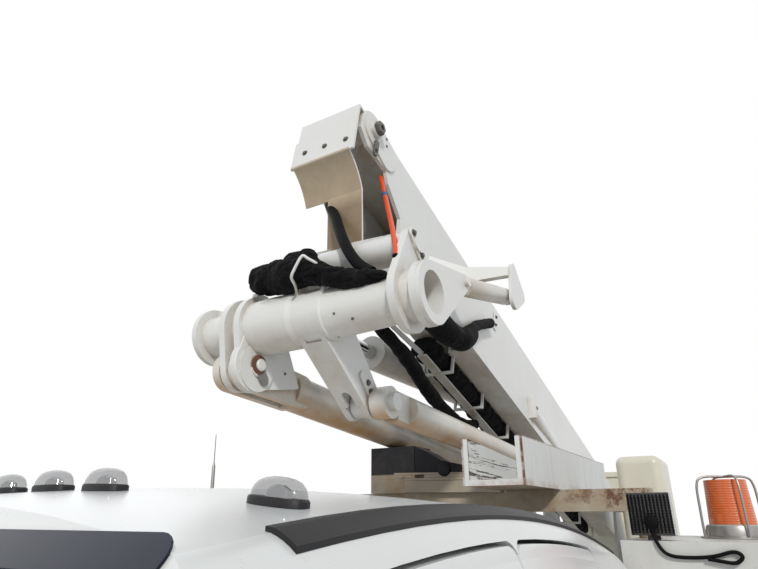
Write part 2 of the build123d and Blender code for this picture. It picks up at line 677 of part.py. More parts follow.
# Front bumper on two brackets, and the row of roof lamps
with BuildPart() as front_bumper:
    with BuildSketch(Plane.XY.offset(BUMPER_LOW_Z)) as face:
        with BuildLine():
            Line((3790, -1000), (3890, -1000))
            ThreePointArc((3890, -1000), (FRONT_X, 0), (3890, 1000))
            Line((3890, 1000), (3790, 1000))
            Line((3790, 1000), (3790, 960))
            Line((3790, 960), (3865, 955))
            ThreePointArc((3865, 955), (FRONT_X - 25, 0), (3865, -955))
            Line((3865, -955), (3790, -960))
            Line((3790, -960), (3790, -1000))
        make_face()
    extrude(to_extrude=face.sketch, amount=BUMPER_HIGH_Z - BUMPER_LOW_Z)
    for side in (1, -1):
        bracket_y = side * (RAIL_Y - 40)
        box_between((FRONT_X - 179.7, FRONT_X - 32), (bracket_y - 30, bracket_y + 30),
                    (RAIL_TOP - RAIL_DEPTH, RAIL_TOP - 195))
save(front_bumper.part, "front_bumper")

ROOF_LAMP_X = 1675.0
ROOF_LAMP_YS = (-560.0, -160.0, 0.0, 160.0, 560.0)


def crown_z(x, y):
    """Height of the curved roof at a point."""
    shoulder_drop = ROOF_CROWN_Z - ROOF_SHOULDER_Z
    radius = (ROOF_SHOULDER_Y ** 2 + shoulder_drop ** 2) / (2 * shoulder_drop)
    return roof_z(x, radius - sqrt(radius ** 2 - y ** 2))


with BuildPart() as roof_lamps:
    for y in ROOF_LAMP_YS:
        fall = (crown_z(ROOF_LAMP_X, y + 50) - crown_z(ROOF_LAMP_X, y - 50)) / 100
        pitch = (crown_z(ROOF_LAMP_X + 25, y) - crown_z(ROOF_LAMP_X - 25, y)) / 50
        seat = Plane(origin=(ROOF_LAMP_X, y, crown_z(ROOF_LAMP_X, y) + 0.8), x_dir=(1, 0, pitch),
                     z_dir=(-pitch, -fall, 1))
        with BuildSketch(seat) as foot:
            RectangleRounded(50, 104, 20)
        extrude(to_extrude=foot.sketch, amount=10)
        with BuildSketch(seat.offset(10)) as lens:
            RectangleRounded(44, 96, 20)
        extrude(to_extrude=lens.sketch, amount=24, taper=18)
save(roof_lamps.part, "roof_lamps")

# Black rails along both edges of the cab roof
MOULDING_FRONT_X = 1835.0
with BuildPart() as moulding_layer:
    add(cab_section(-5, 400))
    add(cab_section(-0.3, 400), mode=Mode.SUBTRACT)

with BuildPart() as roof_mouldings:
    add(moulding_layer.part)
    with BuildSketch(Plane.XY.offset(1700)) as strips:
        for side in (1, -1):
            with Locations(((MOULDING_FRONT_X + CAB_REAR_X + 20) / 2, side * MOULDING_Y)):
                Rectangle(MOULDING_FRONT_X - CAB_REAR_X - 20, MOULDING_WIDTH)
    extrude(to_extrude=strips.sketch, amount=400, mode=Mode.INTERSECT)
save(roof_mouldings.part, "roof_mouldings")

# Running boards below the doors, hung from the sills
with BuildPart() as running_boards:
    for side in (1, -1):
        low_y = min(side * 900, side * 1060)
        box_between((DOOR_REAR_X, DOOR_FRONT_X - 20), (low_y, low_y + 160), (430, 470))
        for x in (900, 1500, 2100):
            step_y = side * 925
            box_between((x - 25, x + 25), (step_y - 20, step_y + 20), (470, CAB_SILL_Z - 0.3))
save(running_boards.part, "running_boards")

# Service body: cabinets down both sides with a deck between them
ARCH_TOP_RADIUS = 470.0
BOX_SIDES = (1, -1)
LEG_X = -750.0
LEG_Y = 1080.0
LEG_HALF = 45.0
LEG_WALL = 12.0
LEG_FIT = 0.3
# Rooms: front x, rear x, low z, high z
ROOMS = (
    (BODY_FRONT_X - SHEET, TALL_REAR_X + SHEET, BOX_BOTTOM_Z + SHEET, TALL_TOP_Z - SHEET),
    (LEG_X - 120, -1400, BOX_BOTTOM_Z + SHEET, LOW_TOP_Z - SHEET),
    (-1440, -2310, 915, LOW_TOP_Z - SHEET),
    (-2350, BODY_REAR_X + SHEET, BOX_BOTTOM_Z + SHEET, LOW_TOP_Z - SHEET),
)
# Door openings in the outer walls: name, front x, rear x, low z, high z
BODY_DOORS = (
    ("tall_body_door", BODY_FRONT_X - 45, TALL_REAR_X + 45, BOX_BOTTOM_Z + 50, TALL_TOP_Z - 50),
    ("rear_body_door", -2420, BODY_REAR_X + 60, BOX_BOTTOM_Z + 50, LOW_TOP_Z - 45),
)
HINGE_PIN = 4.0
HINGE_BARREL = 8.0
HINGE_LENGTH = 45.0
HINGE_Y = BODY_HALF + HINGE_BARREL + 0.3


def upright(x, y, radius, z_low, z_high, mode=Mode.ADD):
    """Round upright bar."""
    with BuildSketch(Plane.XY.offset(z_low)) as disc:
        with Locations((x, y)):
            Circle(radius)
    extrude(to_extrude=disc.sketch, amount=z_high - z_low, mode=mode)


def door_hinges(front, low, high, side, on_door):
    """Barrels and leaves at the front edge of a body door, two per door."""
    centre = front - GAP / 2
    leaf_y = sorted((side * (BODY_HALF - 1), side * (HINGE_Y - 2)))
    for z in (low + 90, high - 90 - 2 * HINGE_LENGTH):
        if on_door:
            span = (z + HINGE_LENGTH + 0.5, z + 2 * HINGE_LENGTH)
            box_between((centre - 40, centre), leaf_y, span)
            upright(centre, side * HINGE_Y, HINGE_BARREL, *span)
            upright(centre, side * HINGE_Y, HINGE_PIN + PIN_FIT, *span, Mode.SUBTRACT)
        else:
            span = (z, z + HINGE_LENGTH)
            box_between((centre, centre + 34), leaf_y, span)
            upright(centre, side * HINGE_Y, HINGE_BARREL, *span)
            upright(centre, side * HINGE_Y, HINGE_PIN, z, z + 2 * HINGE_LENGTH + 4)


with BuildPart() as service_body:
    for side in BOX_SIDES:
        low_y = min(side * BODY_INNER, side * BODY_HALF)
        side_plate(((BODY_FRONT_X, BOX_BOTTOM_Z), (BODY_FRONT_X, TALL_TOP_Z), (TALL_REAR_X, TALL_TOP_Z),
                    (TALL_REAR_X, LOW_TOP_Z), (BODY_REAR_X, LOW_TOP_Z), (BODY_REAR_X, BOX_BOTTOM_Z)),
                   low_y, low_y + BODY_HALF - BODY_INNER)
    box_between((BODY_REAR_X, BODY_FRONT_X), (-BODY_INNER - 1, BODY_INNER + 1), (DECK_Z - DECK_THICKNESS, DECK_Z))
    for side in BOX_SIDES:
        low_y = min(side * (BODY_INNER + SHEET), side * (BODY_HALF - SHEET))
        width = BODY_HALF - BODY_INNER - 2 * SHEET
        for front, rear, low, high in ROOMS:
            box_between((rear, front), (low_y, low_y + width), (low, high), Mode.SUBTRACT)
        cross_disc(REAR_AXLE_X, TYRE_RADIUS + 25, ARCH_TOP_RADIUS, min(side * 500, side * 1300),
                   max(side * 500, side * 1300), Mode.SUBTRACT)
        wall_y = min(side * (BODY_HALF - SHEET - 1), side * (BODY_HALF + 1))
        for name, front, rear, low, high in BODY_DOORS:
            box_between((rear, front), (wall_y, wall_y + SHEET + 2), (low, high), Mode.SUBTRACT)
            door_hinges(front, low, high, side, False)
        leg_y = side * LEG_Y
        half = LEG_HALF + LEG_WALL
        box_between((LEG_X - half, LEG_X + half), (leg_y - half, leg_y + half), (470, LOW_TOP_Z))
        box_between((LEG_X - LEG_HALF - LEG_FIT, LEG_X + LEG_HALF + LEG_FIT),
                    (leg_y - LEG_HALF - LEG_FIT, leg_y + LEG_HALF + LEG_FIT), (400, LOW_TOP_Z - SHEET),
                    Mode.SUBTRACT)
    box_between((PEDESTAL_X[0] - 1, PEDESTAL_X[1] + 1), (-PEDESTAL_HALF - 1, PEDESTAL_HALF + 1), (900, 1100),
                Mode.SUBTRACT)
    for x in (-3300, -1500, -200):
        for y in (-RAIL_Y + 38, RAIL_Y - 38):
            box_between((x - 60, x + 60), (y - 30, y + 30), (RAIL_TOP + 0.3, DECK_Z - DECK_THICKNESS))
save(service_body.part, "service_body")

# Body doors: pressed panels that close the openings, hinged at the front
for name, front, rear, low, high in BODY_DOORS:
    for side, side_name in ((1, "left"), (-1, "right")):
        with BuildPart() as panel:
            low_y = min(side * (BODY_HALF - BODY_DOOR_THICKNESS), side * BODY_HALF)
            box_between((rear + GAP, front - GAP), (low_y, low_y + BODY_DOOR_THICKNESS),
                        (low + GAP, high - GAP))
            face_y = min(side * (BODY_HALF - 8), side * (BODY_HALF + 1))
            box_between((rear + 70, front - 70), (face_y, face_y + 9), (low + 70, high - 70), Mode.SUBTRACT)
            door_hinges(front, low, high, side, True)
        save(panel.part, f"{name}_{side_name}")

# Stabiliser legs, raised inside their housings
LEG_FOOT_Z = 345.0
for side, side_name in ((1, "left"), (-1, "right")):
    with BuildPart() as leg:
        leg_y = side * LEG_Y
        box_between((LEG_X - LEG_HALF, LEG_X + LEG_HALF), (leg_y - LEG_HALF, leg_y + LEG_HALF),
                    (LEG_FOOT_Z + 20, LOW_TOP_Z - 60))
        with BuildSketch(Plane.XY.offset(LEG_FOOT_Z)) as foot:
            with Locations((LEG_X, leg_y)):
                Circle(110)
        extrude(to_extrude=foot.sketch, amount=25)
    save(leg.part, f"stabiliser_leg_{side_name}")

# Tail shelf, step bumper and square hitch receiver
RECEIVER_BORE = 51.0
RECEIVER_OUTER = 76.0
RECEIVER_Z = 600.0
with BuildPart() as rear_bumper:
    box_between((REAR_X + 70, BODY_REAR_X - 0.3), (-BODY_HALF + 10, BODY_HALF - 10),
                (RAIL_TOP + 5, RAIL_TOP + 35))
    box_between((REAR_X + 15, REAR_X + 70), (-BODY_HALF + 10, BODY_HALF - 10), (RAIL_TOP - 190, RAIL_TOP + 35))
    box_between((REAR_X + 70, REAR_X + 179.7), (-RAIL_Y, RAIL_Y), (RAIL_TOP - 180, RAIL_TOP - 20))
    box_between((REAR_X, REAR_X + 300), (-RECEIVER_OUTER / 2, RECEIVER_OUTER / 2),
                (RECEIVER_Z - RECEIVER_OUTER / 2, RECEIVER_Z + RECEIVER_OUTER / 2))
    box_between((REAR_X + 90, REAR_X + 160), (-RECEIVER_OUTER / 2, RECEIVER_OUTER / 2),
                (RECEIVER_Z + RECEIVER_OUTER / 2 - 1, RAIL_TOP - 170))
    box_between((REAR_X - 1, REAR_X + 301), (-RECEIVER_BORE / 2, RECEIVER_BORE / 2),
                (RECEIVER_Z - RECEIVER_BORE / 2, RECEIVER_Z + RECEIVER_BORE / 2), Mode.SUBTRACT)
save(rear_bumper.part, "rear_bumper")

# Pedestal: welded box on the frame with the slewing ring on top
with BuildPart() as pedestal:
    with BuildSketch(Plane.XY.offset(RAIL_TOP + 0.3)) as foot:
        with Locations((SLEW_X, 0)):
            Rectangle(PEDESTAL_X[1] - PEDESTAL_X[0], 2 * PEDESTAL_HALF)
    with BuildSketch(Plane.XY.offset(PEDESTAL_TOP_Z - 40)) as head:
        with Locations((SLEW_X, 0)):
            Rectangle(PEDESTAL_X[1] - PEDESTAL_X[0] - 40, 2 * PEDESTAL_HALF - 120)
    loft(sections=[foot.sketch.face(), head.sketch.face()])
    with BuildSketch(Plane.XY.offset(PEDESTAL_TOP_Z - 40)) as ring:
        with Locations((SLEW_X, 0)):
            Circle(SLEW_RADIUS)
    extrude(to_extrude=ring.sketch, amount=SLEW_Z - 20.3 - PEDESTAL_TOP_Z + 40)
save(pedestal.part, "pedestal")

# Boom rest on the cabinets and the painted tool tray beside it
REST_X = -120.0
REST_BEAM_Z = 2020.0
REST_BEAM_DEPTH = 80.0
REST_TOP_Z = PIN_A_Z - (PIN_A_X - REST_X) * ARM_S / ARM_C - RISER_RADIUS / ARM_C - 7.0
with BuildPart() as boom_rest:
    box_between((REST_X - 50, REST_X + 50), (-820, 820), (REST_BEAM_Z, REST_BEAM_Z + REST_BEAM_DEPTH))
    for y in (-790, 790):
        box_between((REST_X - 40, REST_X + 40), (y - 30, y + 30), (TALL_TOP_Z + 0.3, REST_BEAM_Z))
    box_between((REST_X - 80, REST_X + 80), (RISER_Y - 70, RISER_Y + 160),
                (REST_BEAM_Z + REST_BEAM_DEPTH, REST_TOP_Z))
save(boom_rest.part, "boom_rest")

TRAY_NEAR_Y = 500.0
TRAY_FAR_Y = 300.0
TRAY_BOARD = 24.0
TRAY_FRONT_X = 367.0
TRAY_REAR_X = -1180.0
TRAY_BOARD_REAR_X = -985.0
TRAY_FLOOR_Z = REST_BEAM_Z + REST_BEAM_DEPTH
TRAY_TOP_Z = 2262.0
with BuildPart() as tool_tray:
    box_between((TRAY_REAR_X, TRAY_FRONT_X), (TRAY_FAR_Y - TRAY_BOARD, TRAY_NEAR_Y),
                (TRAY_FLOOR_Z + 0.3, TRAY_FLOOR_Z + 20))
    box_between((TRAY_BOARD_REAR_X, TRAY_FRONT_X), (TRAY_NEAR_Y - TRAY_BOARD, TRAY_NEAR_Y),
                (TRAY_FLOOR_Z + 0.3, TRAY_TOP_Z))
    side_plate(((TRAY_FRONT_X, TRAY_FLOOR_Z + 0.3), (TRAY_FRONT_X, TRAY_TOP_Z), (-240, TRAY_TOP_Z - 42),
                (TRAY_REAR_X, TRAY_TOP_Z - 42), (TRAY_REAR_X, TRAY_FLOOR_Z + 0.3)),
               TRAY_FAR_Y - TRAY_BOARD, TRAY_FAR_Y)
    box_between((TRAY_REAR_X + 60, REST_X - 50.3), (TRAY_FAR_Y + 10, TRAY_NEAR_Y - 10),
                (TRAY_FLOOR_Z - 60, TRAY_FLOOR_Z + 5))
    box_between((-470, -410), (TRAY_FAR_Y + 10, 830), (TRAY_FLOOR_Z - 60, TRAY_FLOOR_Z - 20))
    box_between((-470, -410), (780, 830), (TALL_TOP_Z + 0.3, TRAY_FLOOR_Z - 20))
save(tool_tray.part, "tool_tray")

# Tyres and wheels. Each is a revolved section across its own middle plane.
SIDEWALL_BULGE = TYRE_WIDTH / 2
TREAD_HALF = 98.0
BEAD_HALF = 92.0
RIM_FIT = 0.3
RIM_HALF = 104.0
RIM_WALL = 11.0


def tyre_ring(x, y):
    """One tyre centred at x and y, standing on the ground."""
    with BuildSketch(wheel_plane(x, TYRE_RADIUS)) as section:
        with BuildLine():
            bead = RIM_RADIUS
            shoulder = TYRE_RADIUS - 14
            bulge = (RIM_RADIUS + TYRE_RADIUS) / 2
            ThreePointArc((bead, y - BEAD_HALF), (bulge, y - SIDEWALL_BULGE), (shoulder, y - TREAD_HALF))
            ThreePointArc((shoulder, y - TREAD_HALF), (TYRE_RADIUS, y), (shoulder, y + TREAD_HALF))
            ThreePointArc((shoulder, y + TREAD_HALF), (bulge, y + SIDEWALL_BULGE), (bead, y + BEAD_HALF))
            Line((bead, y + BEAD_HALF), (bead, y - BEAD_HALF))
        make_face()
    revolve(section.sketch, axis=Axis((x, 0, TYRE_RADIUS), (0, 1, 0)))


def rim_disc(x, y, dish, out):
    """One disc wheel: barrel, dished disc and hub flange on its outer side."""
    outer = RIM_RADIUS - RIM_FIT
    inner = outer - RIM_WALL
    with BuildSketch(wheel_plane(x, TYRE_RADIUS)) as section:
        with BuildLine():
            Polyline((inner, y - RIM_HALF), (outer, y - RIM_HALF), (outer, y + RIM_HALF),
                     (inner, y + RIM_HALF), close=True)
        make_face()
        with BuildLine():
            flange = y + out * dish
            Polyline((inner + 2, y - out * 20), (inner + 2, y + out * 0), (HUB_BOLT_RADIUS + 40, flange + out * 7),
                     (SPINDLE_RADIUS + PIN_FIT, flange + out * 7), (SPINDLE_RADIUS + PIN_FIT, flange - out * 7),
                     (HUB_BOLT_RADIUS + 36, flange - out * 7), close=True)
        make_face()
    revolve(section.sketch, axis=Axis((x, 0, TYRE_RADIUS), (0, 1, 0)))
    with BuildSketch(Plane.XZ.offset(-(y + 150))) as holes:
        with Locations((x, TYRE_RADIUS)):
            with PolarLocations(HAND_HOLE_RADIUS, 8, start_angle=22.5):
                Circle(HAND_HOLE)
    extrude(to_extrude=holes.sketch, amount=300, mode=Mode.SUBTRACT)


WHEELS = (
    # name, axle x, wheel centres as (y, dish), side
    ("front_left", FRONT_AXLE_X, ((FRONT_WHEEL_Y, 55),), 1),
    ("front_right", FRONT_AXLE_X, ((-FRONT_WHEEL_Y, 55),), -1),
    ("rear_left", REAR_AXLE_X, ((DUAL_INNER_Y, 85), (DUAL_OUTER_Y, -85)), 1),
    ("rear_right", REAR_AXLE_X, ((-DUAL_INNER_Y, 85), (-DUAL_OUTER_Y, -85)), -1),
)
for name, axle_x, centres, side in WHEELS:
    with BuildPart() as tyres:
        for y, dish in centres:
            tyre_ring(axle_x, y)
    save(tyres.part, f"{name}_tyre")
    with BuildPart() as wheels:
        for y, dish in centres:
            rim_disc(axle_x, y, dish, side)
        hub_y = centres[0][0] + side * centres[0][1]
        hub_low = min(hub_y - side * 55, hub_y + side * 105)
        cross_disc(axle_x, TYRE_RADIUS, 78, hub_low, hub_low + 160)
        bore_low = min(hub_y - side * 56, hub_y + side * 75)
        cross_disc(axle_x, TYRE_RADIUS, SPINDLE_RADIUS + PIN_FIT, bore_low, bore_low + 131, Mode.SUBTRACT)
    save(wheels.part, f"{name}_wheel")

# Steering knuckles: a yoke around the axle eye and a spindle for the hub
EYE_HALF = 55.0
for side, side_name in ((1, "left"), (-1, "right")):
    with BuildPart() as knuckle:
        eye_y = side * KINGPIN_Y
        with BuildSketch(Plane.XY.offset(TYRE_RADIUS - EYE_HALF - 45)) as pin:
            with Locations((FRONT_AXLE_X, eye_y)):
                Circle(KINGPIN_RADIUS)
        extrude(to_extrude=pin.sketch, amount=2 * EYE_HALF + 90)
        web_low = min(side * (KINGPIN_Y + 49), side * (KINGPIN_Y + 74))
        for z in (TYRE_RADIUS - EYE_HALF - 40, TYRE_RADIUS + EYE_HALF + 5):
            with BuildSketch(Plane.XY.offset(z)) as yoke:
                with Locations((FRONT_AXLE_X, eye_y)):
                    Circle(45)
                with Locations((FRONT_AXLE_X, side * (KINGPIN_Y + 37))):
                    Rectangle(80, 74)
            extrude(to_extrude=yoke.sketch, amount=35)
        box_between((FRONT_AXLE_X - 40, FRONT_AXLE_X + 40), (web_low, web_low + 25),
                    (TYRE_RADIUS - EYE_HALF - 40, TYRE_RADIUS + EYE_HALF + 40))
        spindle_low = min(side * (KINGPIN_Y + 60), side * (FRONT_WHEEL_Y + 125))
        cross_disc(FRONT_AXLE_X, TYRE_RADIUS, SPINDLE_RADIUS, spindle_low,
                   spindle_low + FRONT_WHEEL_Y + 125 - KINGPIN_Y - 60)
    save(knuckle.part, f"steering_knuckle_{side_name}")

# Turntable: base plate with a pair of plates on each side of the boom
FAR_TOWER = (-390.0, -370.0, -215.0, -195.0)
NEAR_TOWER = (225.0, 245.0, 315.0, 335.0)
BASE_FRONT_X = -2140.0
BASE_REAR_X = -2900.0
PLATE_TOP_Z = SLEW_Z + 20
with BuildPart() as turntable:
    box_between((BASE_REAR_X, BASE_FRONT_X), (-410, 660), (SLEW_Z - 20, PLATE_TOP_Z))
    with BuildSketch(Plane.XZ.offset(-FAR_TOWER[3])) as far_face:
        with Locations((BASE_A_X, BASE_A_Z)):
            Circle(85)
        with Locations((BASE_REAR_X + 90, PLATE_TOP_Z + 10)):
            Circle(20)
        with Locations((RAISE_BASE[0] + 30, PLATE_TOP_Z + 30)):
            Circle(30)
        make_hull()
    extrude(to_extrude=far_face.sketch, amount=FAR_TOWER[3] - FAR_TOWER[2])
    extrude(to_extrude=far_face.sketch.moved(Location((0, FAR_TOWER[1] - FAR_TOWER[3], 0))),
            amount=FAR_TOWER[1] - FAR_TOWER[0])
    for low_y in (NEAR_TOWER[0], NEAR_TOWER[2]):
        strap(((BASE_B_X, BASE_B_Z, 75), (BASE_REAR_X + 50, PLATE_TOP_Z, 20), (BASE_B_X + 240, PLATE_TOP_Z, 20)),
              low_y, low_y + 20)
    box_between((BASE_REAR_X, BASE_FRONT_X), (-410, 660), (SLEW_Z - 40, SLEW_Z - 20), Mode.SUBTRACT)
    cross_disc(BASE_A_X, BASE_A_Z, PIN_RADIUS, FAR_TOWER[0] - 12, FAR_TOWER[3] + 12)
    cross_disc(BASE_B_X, BASE_B_Z, PIN_RADIUS, NEAR_TOWER[0] - 12, NEAR_TOWER[3] + 12)
    cross_disc(RAISE_BASE[0], RAISE_BASE[1], 25, FAR_TOWER[0] - 12, FAR_TOWER[3] + 12)
save(turntable.part, "turntable")

with BuildPart() as turntable_cover:
    with BuildSketch(Plane.XY.offset(PLATE_TOP_Z + 0.3)) as foot:
        with Locations((-2400, 500)):
            RectangleRounded(480, 300, 60)
    extrude(to_extrude=foot.sketch, amount=2400 - PLATE_TOP_Z)
    fillet(turntable_cover.faces().sort_by(Axis.Z)[-1].edges(), 55)
save(turntable_cover.part, "turntable_cover")

# Riser: forked front end at the elbow, round tube, hub at the turntable
CHEEKS = ((-272.0, -240.0), (-345.0, -313.0))
RISER_EYE = 66.0
FORK_LENGTH = 300.0
with BuildPart() as riser:
    fork_x, fork_z = arm_point(FORK_LENGTH, 0, PIN_A_X, PIN_A_Z)
    for low_y, high_y in CHEEKS:
        strap(((PIN_A_X, PIN_A_Z, RISER_EYE), (fork_x, fork_z, RISER_RADIUS - 8)), low_y, high_y)
    start_x, start_z = arm_point(FORK_LENGTH - 40, 0, PIN_A_X, PIN_A_Z)
    end_x, end_z = arm_point(ARM_LENGTH - 40, 0, PIN_A_X, PIN_A_Z)
    round_bar((start_x, RISER_Y, start_z), (end_x, RISER_Y, end_z), RISER_RADIUS)
    cross_disc(BASE_A_X, BASE_A_Z, RISER_EYE, FAR_TOWER[1] + SIDE_CLEAR, FAR_TOWER[2] - SIDE_CLEAR)
    for low_y in (RAISE_Y - 56, RAISE_Y + 36):
        lug_z = PIN_A_Z - (PIN_A_X - RAISE_ROD[0]) * ARM_S / ARM_C
        strap(((RAISE_ROD[0], RAISE_ROD[1], 42), (RAISE_ROD[0] - 90, lug_z - 7, 40),
               (RAISE_ROD[0] + 90, lug_z + 7, 40)), low_y, low_y + 20)
    cross_disc(PIN_A_X, PIN_A_Z, PIN_RADIUS + PIN_FIT, -400, -200, Mode.SUBTRACT)
    cross_disc(BASE_A_X, BASE_A_Z, PIN_RADIUS + PIN_FIT, -400, -200, Mode.SUBTRACT)
save(riser.part, "riser")

# Parallel link: round tube with an eye at each end, toed out to the rear
LINK_EYE = 55.0
LINK_EYE_HALF = 30.0
with BuildPart() as lower_link:
    start_x, start_z = arm_point(45, 0, PIN_B_X, PIN_B_Z)
    end_x, end_z = arm_point(ARM_LENGTH - 45, 0, PIN_B_X, PIN_B_Z)
    slant = (LINK_REAR_Y - LINK_FRONT_Y) * 45 / ARM_LENGTH
    round_bar((start_x, LINK_FRONT_Y + slant, start_z), (end_x, LINK_REAR_Y - slant, end_z), LINK_RADIUS)
    for x, z, y in ((PIN_B_X, PIN_B_Z, LINK_FRONT_Y), (BASE_B_X, BASE_B_Z, LINK_REAR_Y)):
        cross_disc(x, z, LINK_RADIUS + 75, y + LINK_EYE_HALF, y + 200, Mode.SUBTRACT)
        cross_disc(x, z, LINK_RADIUS + 75, y - 200, y - LINK_EYE_HALF, Mode.SUBTRACT)
        cross_disc(x, z, LINK_EYE, y - LINK_EYE_HALF, y + LINK_EYE_HALF)
        cross_disc(x, z, PIN_RADIUS + PIN_FIT, y - 60, y + 60, Mode.SUBTRACT)
save(lower_link.part, "lower_link")

# Elbow: one round cross tube with every plate and pin welded to it
ELBOW_STEPS = (
    # y, outer radius
    (-445, 103), (-425, 103), (-425, 74), (-212, 74), (-212, 96), (-30, 96), (-10, 90),
    (100, 90), (105, 84), (350, 74), (350, 82), (425, 82), (425, 100), (446, 100), (446, 82), (455, 82),
)
PLATE_A_TOP = 112.0
GUSSET_T = 12.0
ARM_B_SLOT = 36.0
ARM_B_BOSS = 42.0
with BuildPart() as elbow_knuckle:
    with BuildSketch(wheel_plane(ELBOW_X, ELBOW_Z)) as section:
        with BuildLine():
            Polyline(*[(radius, y) for y, radius in ELBOW_STEPS],
                     (TUBE_BORE, ELBOW_STEPS[-1][0]), (TUBE_BORE, ELBOW_STEPS[0][0]), close=True)
        make_face()
    revolve(section.sketch, axis=Axis((ELBOW_X, 0, ELBOW_Z), (0, 1, 0)))
    # Pivot plates C on both sides of the boom's ears
    strap(((PIVOT_X, PIVOT_Z, 60), (ELBOW_X, ELBOW_Z, 110)), PLATE_C_Y - PLATE_C_T, PLATE_C_Y)
    strap(((PIVOT_X, PIVOT_Z, 58), (ELBOW_X, ELBOW_Z, 80)), FAR_EAR_Y - 34, FAR_EAR_Y - 8)
    cross_disc(PIVOT_X, PIVOT_Z, PIN_RADIUS + PIN_FIT, FAR_EAR_Y - 40, PLATE_C_Y + 4, Mode.SUBTRACT)
    # Plates A with the riser's pin
    for low_y, high_y in ((PLATE_A_Y - PLATE_T, PLATE_A_Y), (CHEEKS[0][0] - 30, CHEEKS[0][0] - 5)):
        strap(((ELBOW_X, ELBOW_Z, PLATE_A_TOP), (PIN_A_X, PIN_A_Z, 72), (717, 2441, 8)), low_y, high_y)
    cross_disc(PIN_A_X, PIN_A_Z, 80, PLATE_A_Y, PLATE_A_Y + 8)
    cross_disc(PIN_A_X, PIN_A_Z, PIN_RADIUS, CHEEKS[1][0] - 10, PLATE_A_Y + 14)
    # Gusset from the far flange over the tube to the plates A
    with BuildSketch(Plane.YZ.offset(ELBOW_X - GUSSET_T / 2)) as gusset:
        with BuildLine():
            Polyline((-435, 2710), (-330, 2702), (-302, 2718), (-210, 2718), (-210, 2680), (-435, 2680), close=True)
        make_face()
    extrude(to_extrude=gusset.sketch, amount=GUSSET_T)
    # Arm B with the link's pin: two side plates, a slotted front plate and a boss
    for low_y in (ARM_B_FAR_Y, ARM_B_NEAR_Y - 20):
        strap(((ELBOW_X, ELBOW_Z, 88), (PIN_B_X, PIN_B_Z, 50)), low_y, low_y + 20)
    arm_b_x = PIN_B_X - ELBOW_X
    arm_b_z = PIN_B_Z - ELBOW_Z
    arm_b_side = Plane(origin=(ELBOW_X, 0, ELBOW_Z), x_dir=(arm_b_x, 0, arm_b_z), z_dir=(0, 1, 0))
    with BuildSketch(arm_b_side.offset(ARM_B_FAR_Y + 10)) as front_plate:
        with BuildLine():
            Polyline((50, -82), (330, -53), (330, -41), (50, -70), close=True)
        make_face()
    extrude(to_extrude=front_plate.sketch, amount=ARM_B_NEAR_Y - ARM_B_FAR_Y - 20)
    arm_b_front = Plane(origin=(ELBOW_X, 0, ELBOW_Z), x_dir=(arm_b_x, 0, arm_b_z), z_dir=(arm_b_z, 0, -arm_b_x))
    with BuildSketch(arm_b_front.offset(-95)) as slot:
        with Locations((330, -(ARM_B_NEAR_Y + ARM_B_FAR_Y) / 2)):
            RectangleRounded(130, ARM_B_SLOT, ARM_B_SLOT / 2 - 0.1)
    extrude(to_extrude=slot.sketch, amount=60, mode=Mode.SUBTRACT)
    cross_disc(PIN_B_X, PIN_B_Z, ARM_B_BOSS, ARM_B_FAR_Y + 26, ARM_B_NEAR_Y - 26)
    cross_disc(PIN_B_X, PIN_B_Z, PIN_RADIUS, ARM_B_FAR_Y - 12, LINK_FRONT_Y + LINK_EYE_HALF + 22)
    # Lift cylinder lugs and the level cylinder's lug on flange D
    for low_y in (LIFT_Y - 62, LIFT_Y + 42):
        strap(((LIFT_ROD[0], LIFT_ROD[1], 55), (ELBOW_X, ELBOW_Z, 58)), low_y, low_y + 20)
    strap(((ELBOW_X, ELBOW_Z, 98), (LEVEL_BASE[0], LEVEL_BASE[1], 28)), FLANGE_D_Y, FLANGE_D_Y + 15)
    strap(((ELBOW_X, ELBOW_Z, 70), (LEVEL_BASE[0], LEVEL_BASE[1], 30)), LEVEL_Y - 38, LEVEL_Y - 20)
    cross_disc(LEVEL_BASE[0], LEVEL_BASE[1], 16, LEVEL_Y - 42, FLANGE_D_Y + 28)
    cross_disc(ELBOW_X, ELBOW_Z, TUBE_BORE, -500, 500, Mode.SUBTRACT)
save(elbow_knuckle.part, "elbow_knuckle")

# Telescopic boom: welded box, head plates that drop to the pivot ears
HEAD_T = 15.0
HEAD_PIN_X = 803.0
HEAD_PIN_Z = 3375.6
HEAD_NOSE = 80.0
HEAD_TOP = ((BOOM_START, BOOM_HIGH), (74, 626), (-80, 652), (-172, 560), (-168, 513))
HEAD_NEAR = HEAD_TOP + ((-102, 474), (-34, 480), (34, 483), (64, 438), (185, 361), (197, 278),
                        (250, BOOM_LOW), (BOOM_START, BOOM_LOW))
HEAD_FAR = HEAD_TOP + ((-60, 420), (40, 400), (197, 283), (BOOM_START, 283))
EAR_ROUND = 60.0
BELLY_V = 283.0
PAD_U = (BOOM_END - 120, BOOM_END - 10)
END_PLATE_Y = LEVEL_Y + LEVEL_RADIUS + 6
END_PLATE = (
    # u, v, radius
    (612, 345, 30), (711, 288, 34), (640, 215, 40),
)


def boom_face(points):
    """Side outline given along and square to the boom."""
    return [boom_point(u, v) for u, v in points]


def boom_block(u, v, y, mode=Mode.ADD):
    """Block square to the boom between pairs of u, v and y."""
    side_plate(boom_face(((u[0], v[0]), (u[1], v[0]), (u[1], v[1]), (u[0], v[1]))), y[0], y[1], mode)


